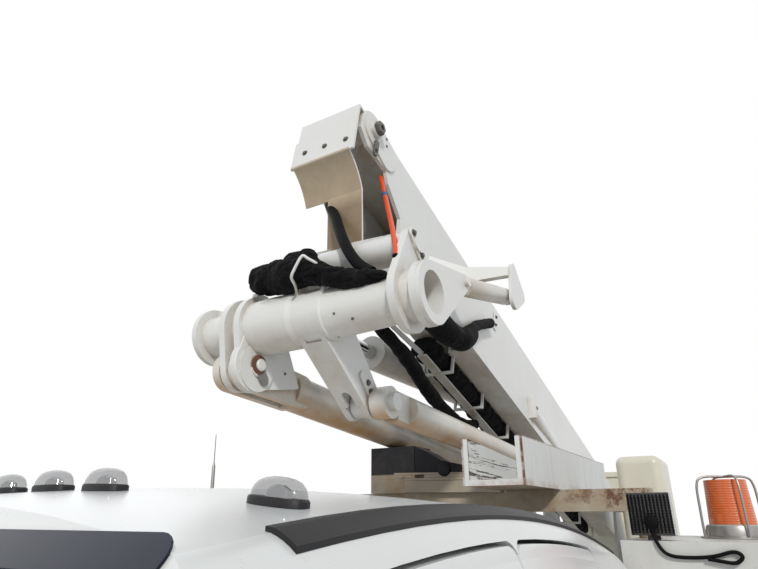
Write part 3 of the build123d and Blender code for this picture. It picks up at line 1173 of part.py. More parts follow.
with BuildPart() as boom:
    boom_block((BOOM_START, BOOM_END), (BOOM_LOW, BOOM_HIGH), (BOOM_FAR_Y, BOOM_NEAR_Y))
    low_in = BOOM_LOW + NOTCH_DEPTH + BOOM_WALL
    boom_block((BOOM_START - 1, BOOM_END + 1), (low_in, BOOM_HIGH - BOOM_WALL),
               (BOOM_FAR_Y + BOOM_WALL, BOOM_NEAR_Y - BOOM_WALL), Mode.SUBTRACT)
    boom_block((BOOM_START - 1, BOOM_END + 1), (BOOM_LOW - 1, BOOM_LOW + NOTCH_DEPTH),
               (BOOM_FAR_Y - 1, RAIL_INNER_Y), Mode.SUBTRACT)
    boom_block((BOOM_START - 1, BOOM_END + 1), (BOOM_LOW + BOOM_WALL, low_in + 1),
               (RAIL_INNER_Y + BOOM_WALL, BOOM_NEAR_Y - BOOM_WALL), Mode.SUBTRACT)
    # Head plates, top plate and belly plate
    side_plate(boom_face(HEAD_NEAR), BOOM_NEAR_Y - HEAD_T, BOOM_NEAR_Y)
    side_plate(boom_face(HEAD_FAR), BOOM_FAR_Y, BOOM_FAR_Y + HEAD_T)
    for low_y, high_y in ((BOOM_NEAR_Y - HEAD_T, BOOM_NEAR_Y), (BOOM_FAR_Y, BOOM_FAR_Y + HEAD_T)):
        cross_disc(HEAD_PIN_X, HEAD_PIN_Z, HEAD_NOSE, low_y, high_y)
    side_plate(boom_face(((BOOM_START, BOOM_HIGH), (74, 626), (-77, 651), (-77, 641), (74, 614), (BOOM_START, 602))),
               BOOM_FAR_Y, BOOM_NEAR_Y)
    boom_block((190, BOOM_START), (BELLY_V - 12, BELLY_V), (BOOM_FAR_Y, BOOM_NEAR_Y))
    # Ears, pivot tube and the plate between the ears
    ear_root = boom_point(262, 280)
    ear_rear = boom_point(420, 280)
    for low_y, high_y in ((FAR_EAR_Y, FAR_EAR_Y + EAR_T), (NEAR_EAR_Y, BOOM_NEAR_Y)):
        with BuildSketch(Plane.XZ.offset(-high_y)) as ear:
            with Locations((PIVOT_X, PIVOT_Z)):
                Circle(EAR_ROUND)
            with Locations(ear_root):
                Circle(60)
            with Locations(ear_rear):
                Circle(58)
            make_hull()
        extrude(to_extrude=ear.sketch, amount=high_y - low_y)
    boom_block((100, BOOM_START + 50), (BELLY_V, BOOM_HIGH - HEAD_T),
               (BOOM_FAR_Y + HEAD_T, BOOM_NEAR_Y - HEAD_T), Mode.SUBTRACT)
    cross_disc(PIVOT_X, PIVOT_Z, 52, FAR_EAR_Y, PLATE_C_Y - PLATE_C_T - SIDE_CLEAR)
    side_plate(boom_face(((42, 60), (222, 262), (231, 254), (51, 52))), FAR_EAR_Y, NEAR_EAR_Y)
    cross_disc(PIVOT_X, PIVOT_Z, PIN_RADIUS, FAR_EAR_Y - 48, PLATE_C_Y + 14)
    # Doubler, pin and sheave of the head
    doubler_x, doubler_z = boom_point(20, 540)
    strap(((HEAD_PIN_X, HEAD_PIN_Z, 64), (doubler_x, doubler_z, 56)), BOOM_NEAR_Y, BOOM_NEAR_Y + 7)
    cross_disc(HEAD_PIN_X, HEAD_PIN_Z, 34, BOOM_FAR_Y - 10, BOOM_NEAR_Y + 22)
    cross_disc(HEAD_PIN_X, HEAD_PIN_Z, 60, 20, 60)
    # End cover with its lip and wider lower band, the curved guard and the front plate below it
    side_plate(boom_face(((-205, 604), (-140, 604), (-140, 595), (-196, 595), (-168, 384), (-177, 384))),
               BOOM_FAR_Y + 5, BOOM_NEAR_Y)
    side_plate(boom_face(((-194, 515), (-185, 515), (-168, 384), (-177, 384))), BOOM_FAR_Y - 6, BOOM_NEAR_Y)
    guard_outer = boom_face(((-176, 386), (-104, 346), (-52, 292)))
    guard_inner = boom_face(((-45, 297), (-99, 353), (-168, 391)))
    with BuildSketch(Plane.XZ.offset(20 - BOOM_NEAR_Y)) as guard:
        with BuildLine():
            ThreePointArc(*guard_outer)
            Line(guard_outer[2], guard_inner[0])
            ThreePointArc(*guard_inner)
            Line(guard_inner[2], guard_outer[0])
        make_face()
    extrude(to_extrude=guard.sketch, amount=BOOM_NEAR_Y - BOOM_FAR_Y - 25)
    side_plate(boom_face(((-56, 298), (-46, 294), (50, 24), (40, 24))), FAR_EAR_Y, NEAR_EAR_Y)
    # Bent arm and end plate for the level cylinder
    with BuildSketch(Plane.XZ.offset(5 - BOOM_NEAR_Y)) as arm_root:
        with BuildLine():
            Polyline(*boom_face(((436, 262), (456, 262), (456, 377), (436, 377))), close=True)
        make_face()
    with BuildSketch(Plane.XZ.offset(-300)) as arm_bend:
        with BuildLine():
            Polyline(*boom_face(((524, 262), (544, 262), (544, 345), (524, 345))), close=True)
        make_face()
    with BuildSketch(Plane.XZ.offset(-END_PLATE_Y - 2)) as arm_end:
        with BuildLine():
            Polyline(*boom_face(((575, 297), (595, 297), (595, 340), (575, 340))), close=True)
        make_face()
    loft(sections=[arm_root.sketch, arm_bend.sketch], ruled=True)
    loft(sections=[arm_bend.sketch, arm_end.sketch], ruled=True)
    end_points = [(*boom_point(u, v), radius) for u, v, radius in END_PLATE]
    strap(end_points, END_PLATE_Y, END_PLATE_Y + 15)
    cross_disc(LEVEL_ROD[0], LEVEL_ROD[1], 20, LEVEL_Y + 22, END_PLATE_Y)
    # Bracket on the far side with the lift cylinder's pin
    cross_disc(LIFT_BASE[0], LIFT_BASE[1], 70, BOOM_FAR_Y - 62, BOOM_FAR_Y)
    cross_disc(LIFT_BASE[0], LIFT_BASE[1], 26, LIFT_Y - 60, BOOM_FAR_Y)
    # Slide pads in the rear mouth
    for v in ((BOOM_HIGH - BOOM_WALL - INNER_CLEAR - 0.7, BOOM_HIGH - BOOM_WALL),
              (low_in, low_in + INNER_CLEAR + 0.7)):
        boom_block(PAD_U, v, (-60, 120))
    for y in ((BOOM_FAR_Y + BOOM_WALL, BOOM_FAR_Y + BOOM_WALL + INNER_CLEAR - 0.3),
              (BOOM_NEAR_Y - BOOM_WALL - INNER_CLEAR + 0.3, BOOM_NEAR_Y - BOOM_WALL)):
        boom_block(PAD_U, (380, 520), y)
    # Hose tray under the notch: long flat bar with square hoops
    boom_block((820, 3600), (138, 146), (-50, -5))
    for hoop in range(8):
        u = BOOM_START + 40 + hoop * 370
        boom_block((u, u + 12), (134, 146), (BOOM_FAR_Y, RAIL_INNER_Y + 12))
        boom_block((u, u + 12), (134, BOOM_LOW + NOTCH_DEPTH), (BOOM_FAR_Y, BOOM_FAR_Y + 12))
        boom_block((u, u + 12), (134, BOOM_LOW), (RAIL_INNER_Y, RAIL_INNER_Y + 12))
save(boom.part, "boom")

# Two hose bundles in the tray
with BuildPart() as boom_hoses:
    for y in (-62, 5):
        start_x, start_z = boom_point(BOOM_START - 90, 179.2)
        end_x, end_z = boom_point(3600, 179.2)
        round_bar((start_x, y, start_z), (end_x, y, end_z), 33)
save(boom_hoses.part, "boom_hoses")

# Inner boom with the bucket's pivot at its tip
INNER_NEAR_Y = BOOM_NEAR_Y - BOOM_WALL - INNER_CLEAR
INNER_FAR_Y = BOOM_FAR_Y + BOOM_WALL + INNER_CLEAR
INNER_HIGH = BOOM_HIGH - BOOM_WALL - INNER_CLEAR - 1
INNER_LOW = low_in + INNER_CLEAR + 1
TIP_EYE = 62.0
TIP_HALF = 60.0
with BuildPart() as inner_boom:
    boom_block((INNER_START, INNER_END), (INNER_LOW, INNER_HIGH), (INNER_FAR_Y, INNER_NEAR_Y))
    boom_block((INNER_START - 1, INNER_END - 15), (INNER_LOW + 8, INNER_HIGH - 8),
               (INNER_FAR_Y + 8, INNER_NEAR_Y - 8), Mode.SUBTRACT)
    tip_x, tip_z = boom_point(PLATFORM_PIN_U, PLATFORM_PIN_V)
    root_x, root_z = boom_point(INNER_END - 60, PLATFORM_PIN_V)
    strap(((tip_x, tip_z, TIP_EYE), (root_x, root_z, 90)), 30 - TIP_HALF, 30 + TIP_HALF)
    cross_disc(tip_x, tip_z, PIN_RADIUS + PIN_FIT, -100, 200, Mode.SUBTRACT)
save(inner_boom.part, "inner_boom")

# Bucket: open fibreglass tub on a bracket that hangs from the boom's tip
BUCKET_Y = 30.0
BUCKET_FRONT_X = tip_x - BUCKET_REACH
BUCKET_REAR_X = BUCKET_FRONT_X - BUCKET_DEPTH
BUCKET_TOP_Z = BUCKET_BOTTOM_Z + BUCKET_HEIGHT
with BuildPart() as bucket:
    with BuildSketch(Plane.XY.offset(BUCKET_BOTTOM_Z)) as foot:
        with Locations(((BUCKET_FRONT_X + BUCKET_REAR_X) / 2, BUCKET_Y)):
            RectangleRounded(BUCKET_DEPTH, BUCKET_WIDTH, 70)
    extrude(to_extrude=foot.sketch, amount=BUCKET_HEIGHT)
    with BuildSketch(Plane.XY.offset(BUCKET_TOP_Z - 40)) as lip:
        with Locations(((BUCKET_FRONT_X + BUCKET_REAR_X) / 2, BUCKET_Y)):
            RectangleRounded(BUCKET_DEPTH + 36, BUCKET_WIDTH + 36, 88)
    extrude(to_extrude=lip.sketch, amount=40)
    with BuildSketch(Plane.XY.offset(BUCKET_BOTTOM_Z + BUCKET_WALL)) as room:
        with Locations(((BUCKET_FRONT_X + BUCKET_REAR_X) / 2, BUCKET_Y)):
            RectangleRounded(BUCKET_DEPTH - 2 * BUCKET_WALL, BUCKET_WIDTH - 2 * BUCKET_WALL, 56)
    extrude(to_extrude=room.sketch, amount=BUCKET_HEIGHT, mode=Mode.SUBTRACT)
    box_between((BUCKET_FRONT_X - 1, BUCKET_FRONT_X + 30), (BUCKET_Y - 120, BUCKET_Y + 120), (1500, 2150))
    for low_y in (BUCKET_Y - TIP_HALF - SIDE_CLEAR - 20, BUCKET_Y + TIP_HALF + SIDE_CLEAR):
        strap(((tip_x, tip_z, 56), (BUCKET_FRONT_X + 25, tip_z + 90, 24), (BUCKET_FRONT_X + 25, tip_z - 90, 24)),
              low_y, low_y + 20)
    pin_reach = TIP_HALF + SIDE_CLEAR + 32
    cross_disc(tip_x, tip_z, PIN_RADIUS, BUCKET_Y - pin_reach, BUCKET_Y + pin_reach)
    for z in (1420, 1860):
        box_between((BUCKET_REAR_X - 40, BUCKET_REAR_X + 1), (BUCKET_Y - 150, BUCKET_Y + 150), (z, z + 60))
save(bucket.part, "bucket")


def along_plane(start, end, y, distance):
    """Plane square to the line between two pins, some way along it."""
    run_x = end[0] - start[0]
    run_z = end[1] - start[1]
    length = sqrt(run_x ** 2 + run_z ** 2)
    origin = (start[0] + run_x / length * distance, y, start[1] + run_z / length * distance)
    return Plane(origin=origin, z_dir=(run_x, 0, run_z))


def round_step(start, end, y, span, radius, mode=Mode.ADD):
    """Round length along the line between two pins."""
    with BuildSketch(along_plane(start, end, y, span[0])) as disc:
        Circle(radius)
    extrude(to_extrude=disc.sketch, amount=span[1] - span[0], mode=mode)


CYLINDERS = (
    # name, barrel pin, rod pin, y, barrel radius, barrel span, tail, rod radius,
    # base eye (radius, width, pin), rod eye (radius, width)
    ("lift", LIFT_BASE, LIFT_ROD, LIFT_Y, LIFT_RADIUS, (60, 1440), 885, 32, (75, 86, 26), (44, 76)),
    ("level", LEVEL_BASE, LEVEL_ROD, LEVEL_Y, LEVEL_RADIUS, (60, 500), 90, 16, (34, 34, 16), (30, 34)),
    ("raise", RAISE_BASE, RAISE_ROD, RAISE_Y, RAISE_RADIUS, (45, 900), 80, 30, (45, 145, 25), (36, 60)),
)
BARREL_WALL = 9.0
GLAND = 45.0
PISTON = 40.0
for name, pin, rod_pin, y, radius, span, tail, rod_radius, base_eye, rod_eye in CYLINDERS:
    reach = sqrt((rod_pin[0] - pin[0]) ** 2 + (rod_pin[1] - pin[1]) ** 2)
    eye_radius, eye_width, pin_radius = base_eye
    with BuildPart() as barrel:
        round_step(pin, rod_pin, y, (0, span[0] + 1), min(radius, eye_width / 2, eye_radius))
        cross_disc(pin[0], pin[1], eye_radius, y - eye_width / 2, y + eye_width / 2)
        round_step(pin, rod_pin, y, span, radius)
        cross_disc(pin[0], pin[1], pin_radius + PIN_FIT, y - 200, y + 200, Mode.SUBTRACT)
        round_step(pin, rod_pin, y, (span[0] + 12, span[1] - GLAND), radius - BARREL_WALL, Mode.SUBTRACT)
        round_step(pin, rod_pin, y, (span[1] - GLAND - 1, span[1] + 1), rod_radius + PIN_FIT, Mode.SUBTRACT)
    save(barrel.part, f"{name}_barrel")
    with BuildPart() as rod:
        round_step(pin, rod_pin, y, (tail, tail + PISTON), radius - BARREL_WALL - 0.3)
        round_step(pin, rod_pin, y, (tail, reach), rod_radius)
        cross_disc(rod_pin[0], rod_pin[1], rod_eye[0], y - rod_eye[1] / 2, y + rod_eye[1] / 2)
    save(rod.part, f"{name}_rod")

# Fabric sleeve over the hoses that lie on the elbow
SLEEVE_STEPS = (
    # y, x, z, radius
    (-215, 985, 2760, 34), (-190, 985, 2764, 56), (-120, 990, 2770, 64), (-30, 1031, 2748, 61),
    (60, 1022, 2728, 46), (150, 1012, 2708, 38), (340, 998, 2694, 24),
)
with BuildPart() as elbow_sleeve:
    for y, x, z, radius in SLEEVE_STEPS:
        with BuildSketch(Plane(origin=(x, y, z), z_dir=(0, 1, 0))):
            Circle(radius)
    loft(ruled=True)
save(elbow_sleeve.part, "elbow_sleeve")
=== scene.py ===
"""Looks of the aerial lift truck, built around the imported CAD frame. Lengths are in metres."""
from math import atan2, copysign, cos, exp, pi, radians, sin, sqrt

import bmesh
import bpy
from mathutils import Matrix, Vector, noise


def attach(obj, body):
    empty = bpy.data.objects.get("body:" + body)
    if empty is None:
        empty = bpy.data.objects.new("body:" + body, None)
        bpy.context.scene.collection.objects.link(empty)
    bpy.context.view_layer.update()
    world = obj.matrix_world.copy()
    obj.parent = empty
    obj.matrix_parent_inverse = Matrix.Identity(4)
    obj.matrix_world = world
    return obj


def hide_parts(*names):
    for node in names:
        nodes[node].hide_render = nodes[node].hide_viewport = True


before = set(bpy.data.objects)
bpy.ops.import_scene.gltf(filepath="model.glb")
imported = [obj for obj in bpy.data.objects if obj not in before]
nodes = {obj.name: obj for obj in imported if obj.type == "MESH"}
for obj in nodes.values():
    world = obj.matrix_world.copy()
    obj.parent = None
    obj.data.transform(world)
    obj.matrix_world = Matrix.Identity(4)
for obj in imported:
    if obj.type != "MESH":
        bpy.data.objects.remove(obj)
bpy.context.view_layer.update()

AHEAD = Vector((1, 0, 0))
NEAR = Vector((0, 1, 0))
UP = Vector((0, 0, 1))
SIDES = ((1, "left"), (-1, "right"))

# Camera: beside the left windscreen pillar, looking up and across the roof
CAMERA_AT = Vector((2.335, 1.13, 2.0))
CAMERA_HEADING = Vector((-0.8536, -0.521, 0)).normalized()
CAMERA_PITCH = radians(22.2)
CAMERA_LENS = 27.07
CAMERA_SENSOR = 36.0


def add_object(name, data):
    made = bpy.data.objects.new(name, data)
    bpy.context.collection.objects.link(made)
    return made


def add_camera():
    """The photograph's view, as a level camera tilted up."""
    data = bpy.data.cameras.new("camera")
    data.lens = CAMERA_LENS
    data.sensor_width = CAMERA_SENSOR
    data.clip_start = 0.05
    data.clip_end = 200
    camera = add_object("camera", data)
    forward = CAMERA_HEADING * cos(CAMERA_PITCH) + UP * sin(CAMERA_PITCH)
    right = forward.cross(UP).normalized()
    turn = Matrix((right, right.cross(forward), -forward)).transposed()
    camera.matrix_world = Matrix.Translation(CAMERA_AT) @ turn.to_4x4()
    bpy.context.scene.camera = camera


add_camera()

# Materials, each under the name that pieces ask for
MATERIALS = {}
RUST = (0.2, 0.075, 0.03)
LIGHT_DUST = (0.62, 0.58, 0.5)
PALE_SHADE_AND_GRIME = (0.46, 0.36, 0.25)


def feed(tree, socket, value):
    """Plug another node's output into a socket, or set the socket's own value."""
    if isinstance(value, bpy.types.NodeSocket):
        tree.links.new(value, socket)
    elif socket.type == "RGBA":
        socket.default_value = (*value, 1)
    else:
        socket.default_value = value


def feed_named(tree, node, inputs):
    """Feed a node's inputs by name, where an underscore stands for a space."""
    for name, value in inputs.items():
        feed(tree, node.inputs[name.replace("_", " ")], value)


def add_node(tree, kind, **inputs):
    node = tree.nodes.new(f"ShaderNode{kind}")
    feed_named(tree, node, inputs)
    return node


def combine(tree, operation, first, second):
    """Two values multiplied or compared, kept between 0 and 1."""
    node = add_node(tree, "Math")
    node.operation = operation
    node.use_clamp = True
    feed(tree, node.inputs[0], first)
    feed(tree, node.inputs[1], second)
    return node.outputs["Value"]


def darker(colour, share):
    return tuple(share * c for c in colour)


class Surface:
    """A material being made: masks of 0 to 1, and coats of colour laid over each other."""

    def __init__(self, name, colour):
        self.material = bpy.data.materials.new(name)
        self.material.use_nodes = True
        self.tree = self.material.node_tree
        self.shader = self.tree.nodes["Principled BSDF"]
        self.colour = colour

    def ramp(self, value, low, high):
        """Value cut to a mask between low and high."""
        return add_node(self.tree, "MapRange", Value=value, From_Min=low, From_Max=high).outputs["Result"]

    def own_place(self):
        """Coordinates of the object, which stay with it when it moves."""
        return add_node(self.tree, "TexCoord").outputs["Object"]

    def noise(self, scale, detail, rough, low, high, stretch=(1, 1, 1)):
        place = add_node(self.tree, "Mapping", Vector=self.own_place(), Scale=stretch).outputs["Vector"]
        made = add_node(self.tree, "TexNoise", Vector=place, Scale=scale, Detail=detail, Roughness=rough)
        return self.ramp(made.outputs["Fac"], low, high)

    def vein(self, scale, detail, rough, rise, fall, stretch):
        """Thin winding lines, where the noise lies between two values."""
        return self.times(self.noise(scale, detail, rough, *rise, stretch),
                          self.noise(scale, detail, rough, *fall, stretch))

    def wave(self, direction, scale, distortion=0.0):
        made = add_node(self.tree, "TexWave", Vector=self.own_place(), Scale=scale, Distortion=distortion)
        made.bands_direction = direction
        return made.outputs["Fac"]

    def facing(self, axis, low, high):
        """Mask of how far the surface looks along a world axis."""
        normal = add_node(self.tree, "NewGeometry").outputs["Normal"]
        return self.ramp(add_node(self.tree, "SeparateXYZ", Vector=normal).outputs[axis], low, high)

    def placed(self, axis, low, high):
        """Mask of where a point lies along an axis of the object."""
        split = add_node(self.tree, "SeparateXYZ", Vector=self.own_place())
        return self.ramp(split.outputs[axis], low, high)

    def corners(self, reach):
        """Mask of crevices from ambient occlusion, for painted shade and the dirt that gathers there."""
        node = add_node(self.tree, "AmbientOcclusion", Distance=reach)
        node.samples = 6
        return self.ramp(node.outputs["AO"], 0.85, 0.35)

    def times(self, first, *others):
        """Product of masks and shares."""
        product = first
        for other in others:
            product = combine(self.tree, "MULTIPLY", product, other)
        return product

    def mix(self, mask, a, b):
        """Colour a where the mask is 0, b where it is 1."""
        node = add_node(self.tree, "Mix")
        node.data_type = "RGBA"
        feed(self.tree, node.inputs["Factor"], mask)
        feed(self.tree, node.inputs[6], a)
        feed(self.tree, node.inputs[7], b)
        return node.outputs[2]

    def lay(self, colour, *masks):
        """Coat of colour over what is there, as strong as the product of its masks."""
        self.colour = self.mix(self.times(*masks), self.colour, colour)

    def bump(self, height, strength, distance=0.001):
        made = add_node(self.tree, "Bump", Height=height, Strength=strength, Distance=distance)
        feed(self.tree, self.shader.inputs["Normal"], made.outputs["Normal"])

    def done(self, key, **inputs):
        feed_named(self.tree, self.shader, {"Base Color": self.colour, **inputs})
        MATERIALS[key] = self.material


def painted(name, colour, dust=LIGHT_DUST, dusty=0.35, rusty=0.0, shade_and_grime=PALE_SHADE_AND_GRIME, underside_shade_and_grime=0.0, rough=0.35,
            streak=1.0, corner=0.0, stain_and_shade=None):
    """Painted steel with dust clouds, drips, dark specks and rust spots; crevices darkened as painted shade
    with dirt, downward faces tinted as painted shade and bounce light with grime.
    """
    paint = Surface(name, colour)
    paint.lay(dust, paint.noise(2.6, 8, 0.62, 0.45, 0.75, (1, 1, streak)), dusty)
    paint.lay(darker(dust, 0.6), paint.noise(22, 5, 0.6, 0.58, 0.78, (1, 1, 0.09)), 0.3 * dusty)
    paint.lay(darker(dust, 0.4), paint.noise(55, 4, 0.75, 0.66, 0.72), 0.3)
    # Downward faces tinted tan: painted shade and bounce light, with grime.
    if underside_shade_and_grime:
        paint.lay(shade_and_grime, paint.facing("Z", -0.15, -0.85), underside_shade_and_grime, paint.noise(5, 8, 0.7, 0.22, 0.66))
    # Crevices darkened: painted shade, with dirt.
    if corner:
        paint.lay(darker(shade_and_grime, 0.75), paint.corners(0.05), paint.noise(14, 6, 0.7, 0.3, 0.65), corner)
    if rusty:
        paint.lay(RUST, paint.noise(9, 10, 0.75, 0.67, 0.72), rusty)
    # Optional extra coat, such as the boom head's painted bounce light and shade.
    if stain_and_shade:
        stain_and_shade(paint)
    paint.bump(paint.noise(60, 3, 0.5, 0, 1), 0.07)
    paint.done(name, Roughness=rough, Coat_Weight=0.12, Coat_Roughness=0.25)


def head_bounce_and_shade(paint):
    """Brown on the front faces between the boom's side plates: painted bounce light and shade over old dirt,
    the lower part darker as painted shade.
    """
    blotches = paint.noise(9, 8, 0.7, 0.25, 0.75)
    upper = paint.mix(blotches, (0.55, 0.45, 0.31), (0.4, 0.3, 0.2))
    lower = paint.mix(blotches, (0.33, 0.25, 0.15), (0.2, 0.13, 0.08))
    # Lower part darker: painted shade.
    dirt_with_shade = paint.mix(paint.placed("Z", 3.1, 3.04), upper, lower)
    paint.lay(dirt_with_shade, paint.placed("Y", -0.152, -0.149), paint.placed("Y", 0.152, 0.149),
              paint.placed("Z", 3.231, 3.227), paint.placed("Z", 2.84, 2.87), paint.facing("X", 0.2, 0.45))


def plain(name, colour, rough, metallic=0.0, grain=0.0, scale=300, worn=0.3, shine=0.5):
    """One colour with paler clouds and a fine grain."""
    skin = Surface(name, colour)
    skin.lay(tuple(min(1, c * 1.5 + 0.02) for c in colour), skin.noise(9, 6, 0.6, 0.3, 0.8), worn)
    if grain:
        skin.bump(skin.noise(scale, 3, 0.5, 0.2, 0.8), grain)
    skin.done(name, Roughness=rough, Metallic=metallic, Specular_IOR_Level=shine)


def clear(name, colour, alpha, rough=0.06):
    """Tinted pane that lets some light through."""
    pane = Surface(name, colour)
    pane.lay(darker(colour, 0.6), pane.noise(12, 5, 0.6, 0.35, 0.8), 0.35)
    pane.done(name, Roughness=rough, IOR=1.5, Alpha=alpha, Coat_Weight=0.6, Coat_Roughness=0.03)


def sleeve_fabric():
    """Coarse black synthetic weave, crumpled and a little dusty."""
    cloth = Surface("sleeve", (0.003, 0.003, 0.004))
    cloth.lay((0.07, 0.065, 0.06), cloth.noise(6, 8, 0.6, 0.5, 0.8), 0.1)
    weave = cloth.times(cloth.wave("X", 160, 1.5), cloth.wave("Z", 160, 1.5))
    crumpled = cloth.noise(24, 4, 0.55, 0.3, 0.7, (1, 0.7, 1))
    cloth.bump(cloth.mix(0.06, crumpled, weave), 0.9, 0.012)
    cloth.done("sleeve", Roughness=0.88, Sheen_Weight=0.03, Specular_IOR_Level=0.15)


def board_paint():
    """Pale paint: the far board cracked along its grain, edges rusty, dirt below, and downward faces darkened
    as painted shade with grime.
    """
    edge_rust = (0.16, 0.055, 0.028)
    board = Surface("boards", (0.76, 0.77, 0.76))
    board.lay((0.5, 0.48, 0.44), board.noise(26, 6, 0.6, 0.5, 0.85, (1, 1, 0.12)), 0.45)
    board.lay((0.3, 0.25, 0.2), board.noise(20, 8, 0.75, 0.68, 0.7, (0.12, 1, 2.0)), 0.4)
    near_side = board.facing("Y", 0.5, 0.6)
    inner_face = board.times(near_side, board.placed("Y", 0.34, 0.32))
    cracks = board.vein(11, 5, 0.62, (0.475, 0.483), (0.53, 0.522), (0.1, 1, 2.6))
    cracks = board.times(cracks, board.noise(9, 4, 0.6, 0.34, 0.4), inner_face)
    splits = board.vein(16, 4, 0.6, (0.592, 0.598), (0.622, 0.615), (0.14, 1, 3.2))
    board.lay((0.05, 0.03, 0.025), cracks, 0.95)
    board.lay((0.13, 0.065, 0.04), splits, inner_face, 0.9)
    worn = board.noise(16, 9, 0.75, 0.3, 0.55)
    end_faces = board.facing("X", 0.5, 0.6)
    for low, high in ((0.491, 0.495), (0.285, 0.281)):
        board.lay(edge_rust, board.placed("Y", low, high), end_faces, worn)
    board.lay(edge_rust, board.placed("Z", 2.2575, 2.2595), worn, 0.6)
    board.lay(edge_rust, board.placed("X", 0.355, 0.362), near_side, worn)
    board.lay((0.36, 0.2, 0.1), board.placed("Z", 2.128, 2.106), board.noise(8, 9, 0.75, 0.42, 0.62), 0.6)
    # Downward faces darker brown: painted shade, with grime.
    board.lay((0.3, 0.2, 0.12), board.facing("Z", -0.2, -0.8), board.noise(5, 9, 0.75, 0.1, 0.5), 0.95)
    board.bump(cracks, -0.8, 0.002)
    board.done("boards", Roughness=0.8)


def rest_paint():
    """Black head of the boom rest, over a dirty pale beam with rust on its near end."""
    rest = Surface("rest", (0.52, 0.47, 0.38))
    rest.lay((0.34, 0.22, 0.12), rest.noise(5, 8, 0.7, 0.35, 0.7))
    rest.lay((0.13, 0.045, 0.02), rest.noise(9, 10, 0.78, 0.5, 0.58), rest.placed("Y", 0.3, 0.75))
    head = rest.mix(rest.noise(7, 8, 0.7, 0.45, 0.8), (0.016, 0.018, 0.022), (0.055, 0.045, 0.04))
    rest.lay(head, rest.placed("Z", 2.176, 2.182))
    rest.bump(rest.noise(50, 3, 0.5, 0, 1), 0.1)
    rest.done("rest_black", Roughness=0.6, Specular_IOR_Level=0.3)


def lamp_lenses():
    """The vehicle's lamps in one node: clear in front, red behind, amber dome, black work lamp."""
    lens = Surface("vehicle_lamps", (0.75, 0.13, 0.012))
    lens.lay((0.42, 0.43, 0.44), lens.placed("X", 3.7, 3.71))
    lens.lay((0.36, 0.008, 0.008), lens.placed("X", -3.4, -3.41))
    high = lens.placed("Z", 1.90, 1.91)
    lens.lay((0.44, 0.43, 0.4), high, lens.placed("Z", 1.9765, 1.9755))
    lens.lay((0.012, 0.012, 0.013), high, lens.placed("Y", 0.935, 0.93))
    lens.lay((0.25, 0.2, 0.15), lens.noise(12, 5, 0.6, 0.35, 0.8), 0.2)
    lens.bump(lens.wave("Z", 38), 0.7, 0.002)
    lens.done("lamps", Roughness=0.22, Coat_Weight=0.5)


painted("cab_white", (0.8, 0.81, 0.81), dusty=0.12, rough=0.22)
# boom_main also carries the head's painted bounce light and shade.
for name, stain_and_shade in (("boom_white", None), ("boom_main", head_bounce_and_shade)):
    painted(name, (0.79, 0.795, 0.78), dusty=0.16, rusty=0.45, underside_shade_and_grime=0.85, corner=0.6, stain_and_shade=stain_and_shade)
painted("elbow_white", (0.79, 0.79, 0.77), dusty=0.22, rusty=0.5, shade_and_grime=(0.52, 0.42, 0.31),
        underside_shade_and_grime=0.7, corner=0.7)
painted("arm_white", (0.7, 0.68, 0.63), dust=(0.55, 0.4, 0.24), dusty=0.8, rusty=0.8,
        shade_and_grime=(0.54, 0.29, 0.1), underside_shade_and_grime=1.0, corner=0.9)
painted("cylinder_white", (0.71, 0.7, 0.67), dust=(0.5, 0.4, 0.28), dusty=0.6, rusty=0.4,
        shade_and_grime=(0.42, 0.31, 0.19), underside_shade_and_grime=0.9, corner=0.6)
painted("body_white", (0.66, 0.66, 0.64), dust=(0.44, 0.4, 0.34), dusty=0.5, rusty=0.8,
        streak=0.25, rough=0.5, corner=0.5)
painted("wheel_white", (0.7, 0.7, 0.68), dust=(0.34, 0.29, 0.23), dusty=0.6, corner=0.7,
        shade_and_grime=(0.24, 0.18, 0.12))
painted("chassis_black", (0.03, 0.03, 0.03), dust=(0.2, 0.17, 0.14), dusty=0.5, rough=0.55)
painted("cast_black", (0.07, 0.065, 0.06), dust=(0.22, 0.17, 0.12), dusty=0.6, rusty=0.7, rough=0.75)
painted("fibreglass", (0.72, 0.69, 0.58), dust=(0.5, 0.44, 0.32), corner=0.4)
painted("rest_tan", (0.42, 0.38, 0.31), dust=(0.36, 0.25, 0.15), dusty=0.8, rusty=0.8, rough=0.6,
        shade_and_grime=(0.2, 0.1, 0.05), underside_shade_and_grime=0.8)
painted("pin_rust", (0.14, 0.06, 0.035), dust=(0.3, 0.16, 0.08), dusty=0.5, rusty=0.9, rough=0.8,
        shade_and_grime=(0.1, 0.04, 0.02), underside_shade_and_grime=0.5)
plain("rest_dark", (0.01, 0.01, 0.013), 0.6, grain=0.3, scale=60, worn=0.4, shine=0.25)
plain("dark_band", (0.004, 0.009, 0.024), 0.18, grain=0.05, scale=80, worn=0.05, shine=0.2)
plain("band_blue", (0.02, 0.11, 0.26), 0.5, grain=0.1)
plain("trim_black", (0.016, 0.016, 0.018), 0.5, grain=0.15, worn=0.15, shine=0.3)
plain("interior", (0.16, 0.16, 0.17), 0.8, grain=0.3)
plain("rubber", (0.022, 0.022, 0.022), 0.85, grain=0.3, scale=120, worn=0.8)
plain("hose", (0.004, 0.004, 0.005), 0.65, grain=0.3, scale=200, worn=0.05, shine=0.1)
plain("orange", (0.72, 0.075, 0.015), 0.42, worn=0.2)
plain("chrome", (0.55, 0.55, 0.56), 0.14, metallic=1.0)
plain("mirror", (0.75, 0.77, 0.8), 0.03, metallic=1.0, worn=0.05)
plain("steel", (0.3, 0.29, 0.28), 0.38, metallic=0.85, grain=0.1, worn=0.6)
plain("pin_steel", (0.115, 0.105, 0.095), 0.42, metallic=0.7, grain=0.2, worn=0.9)
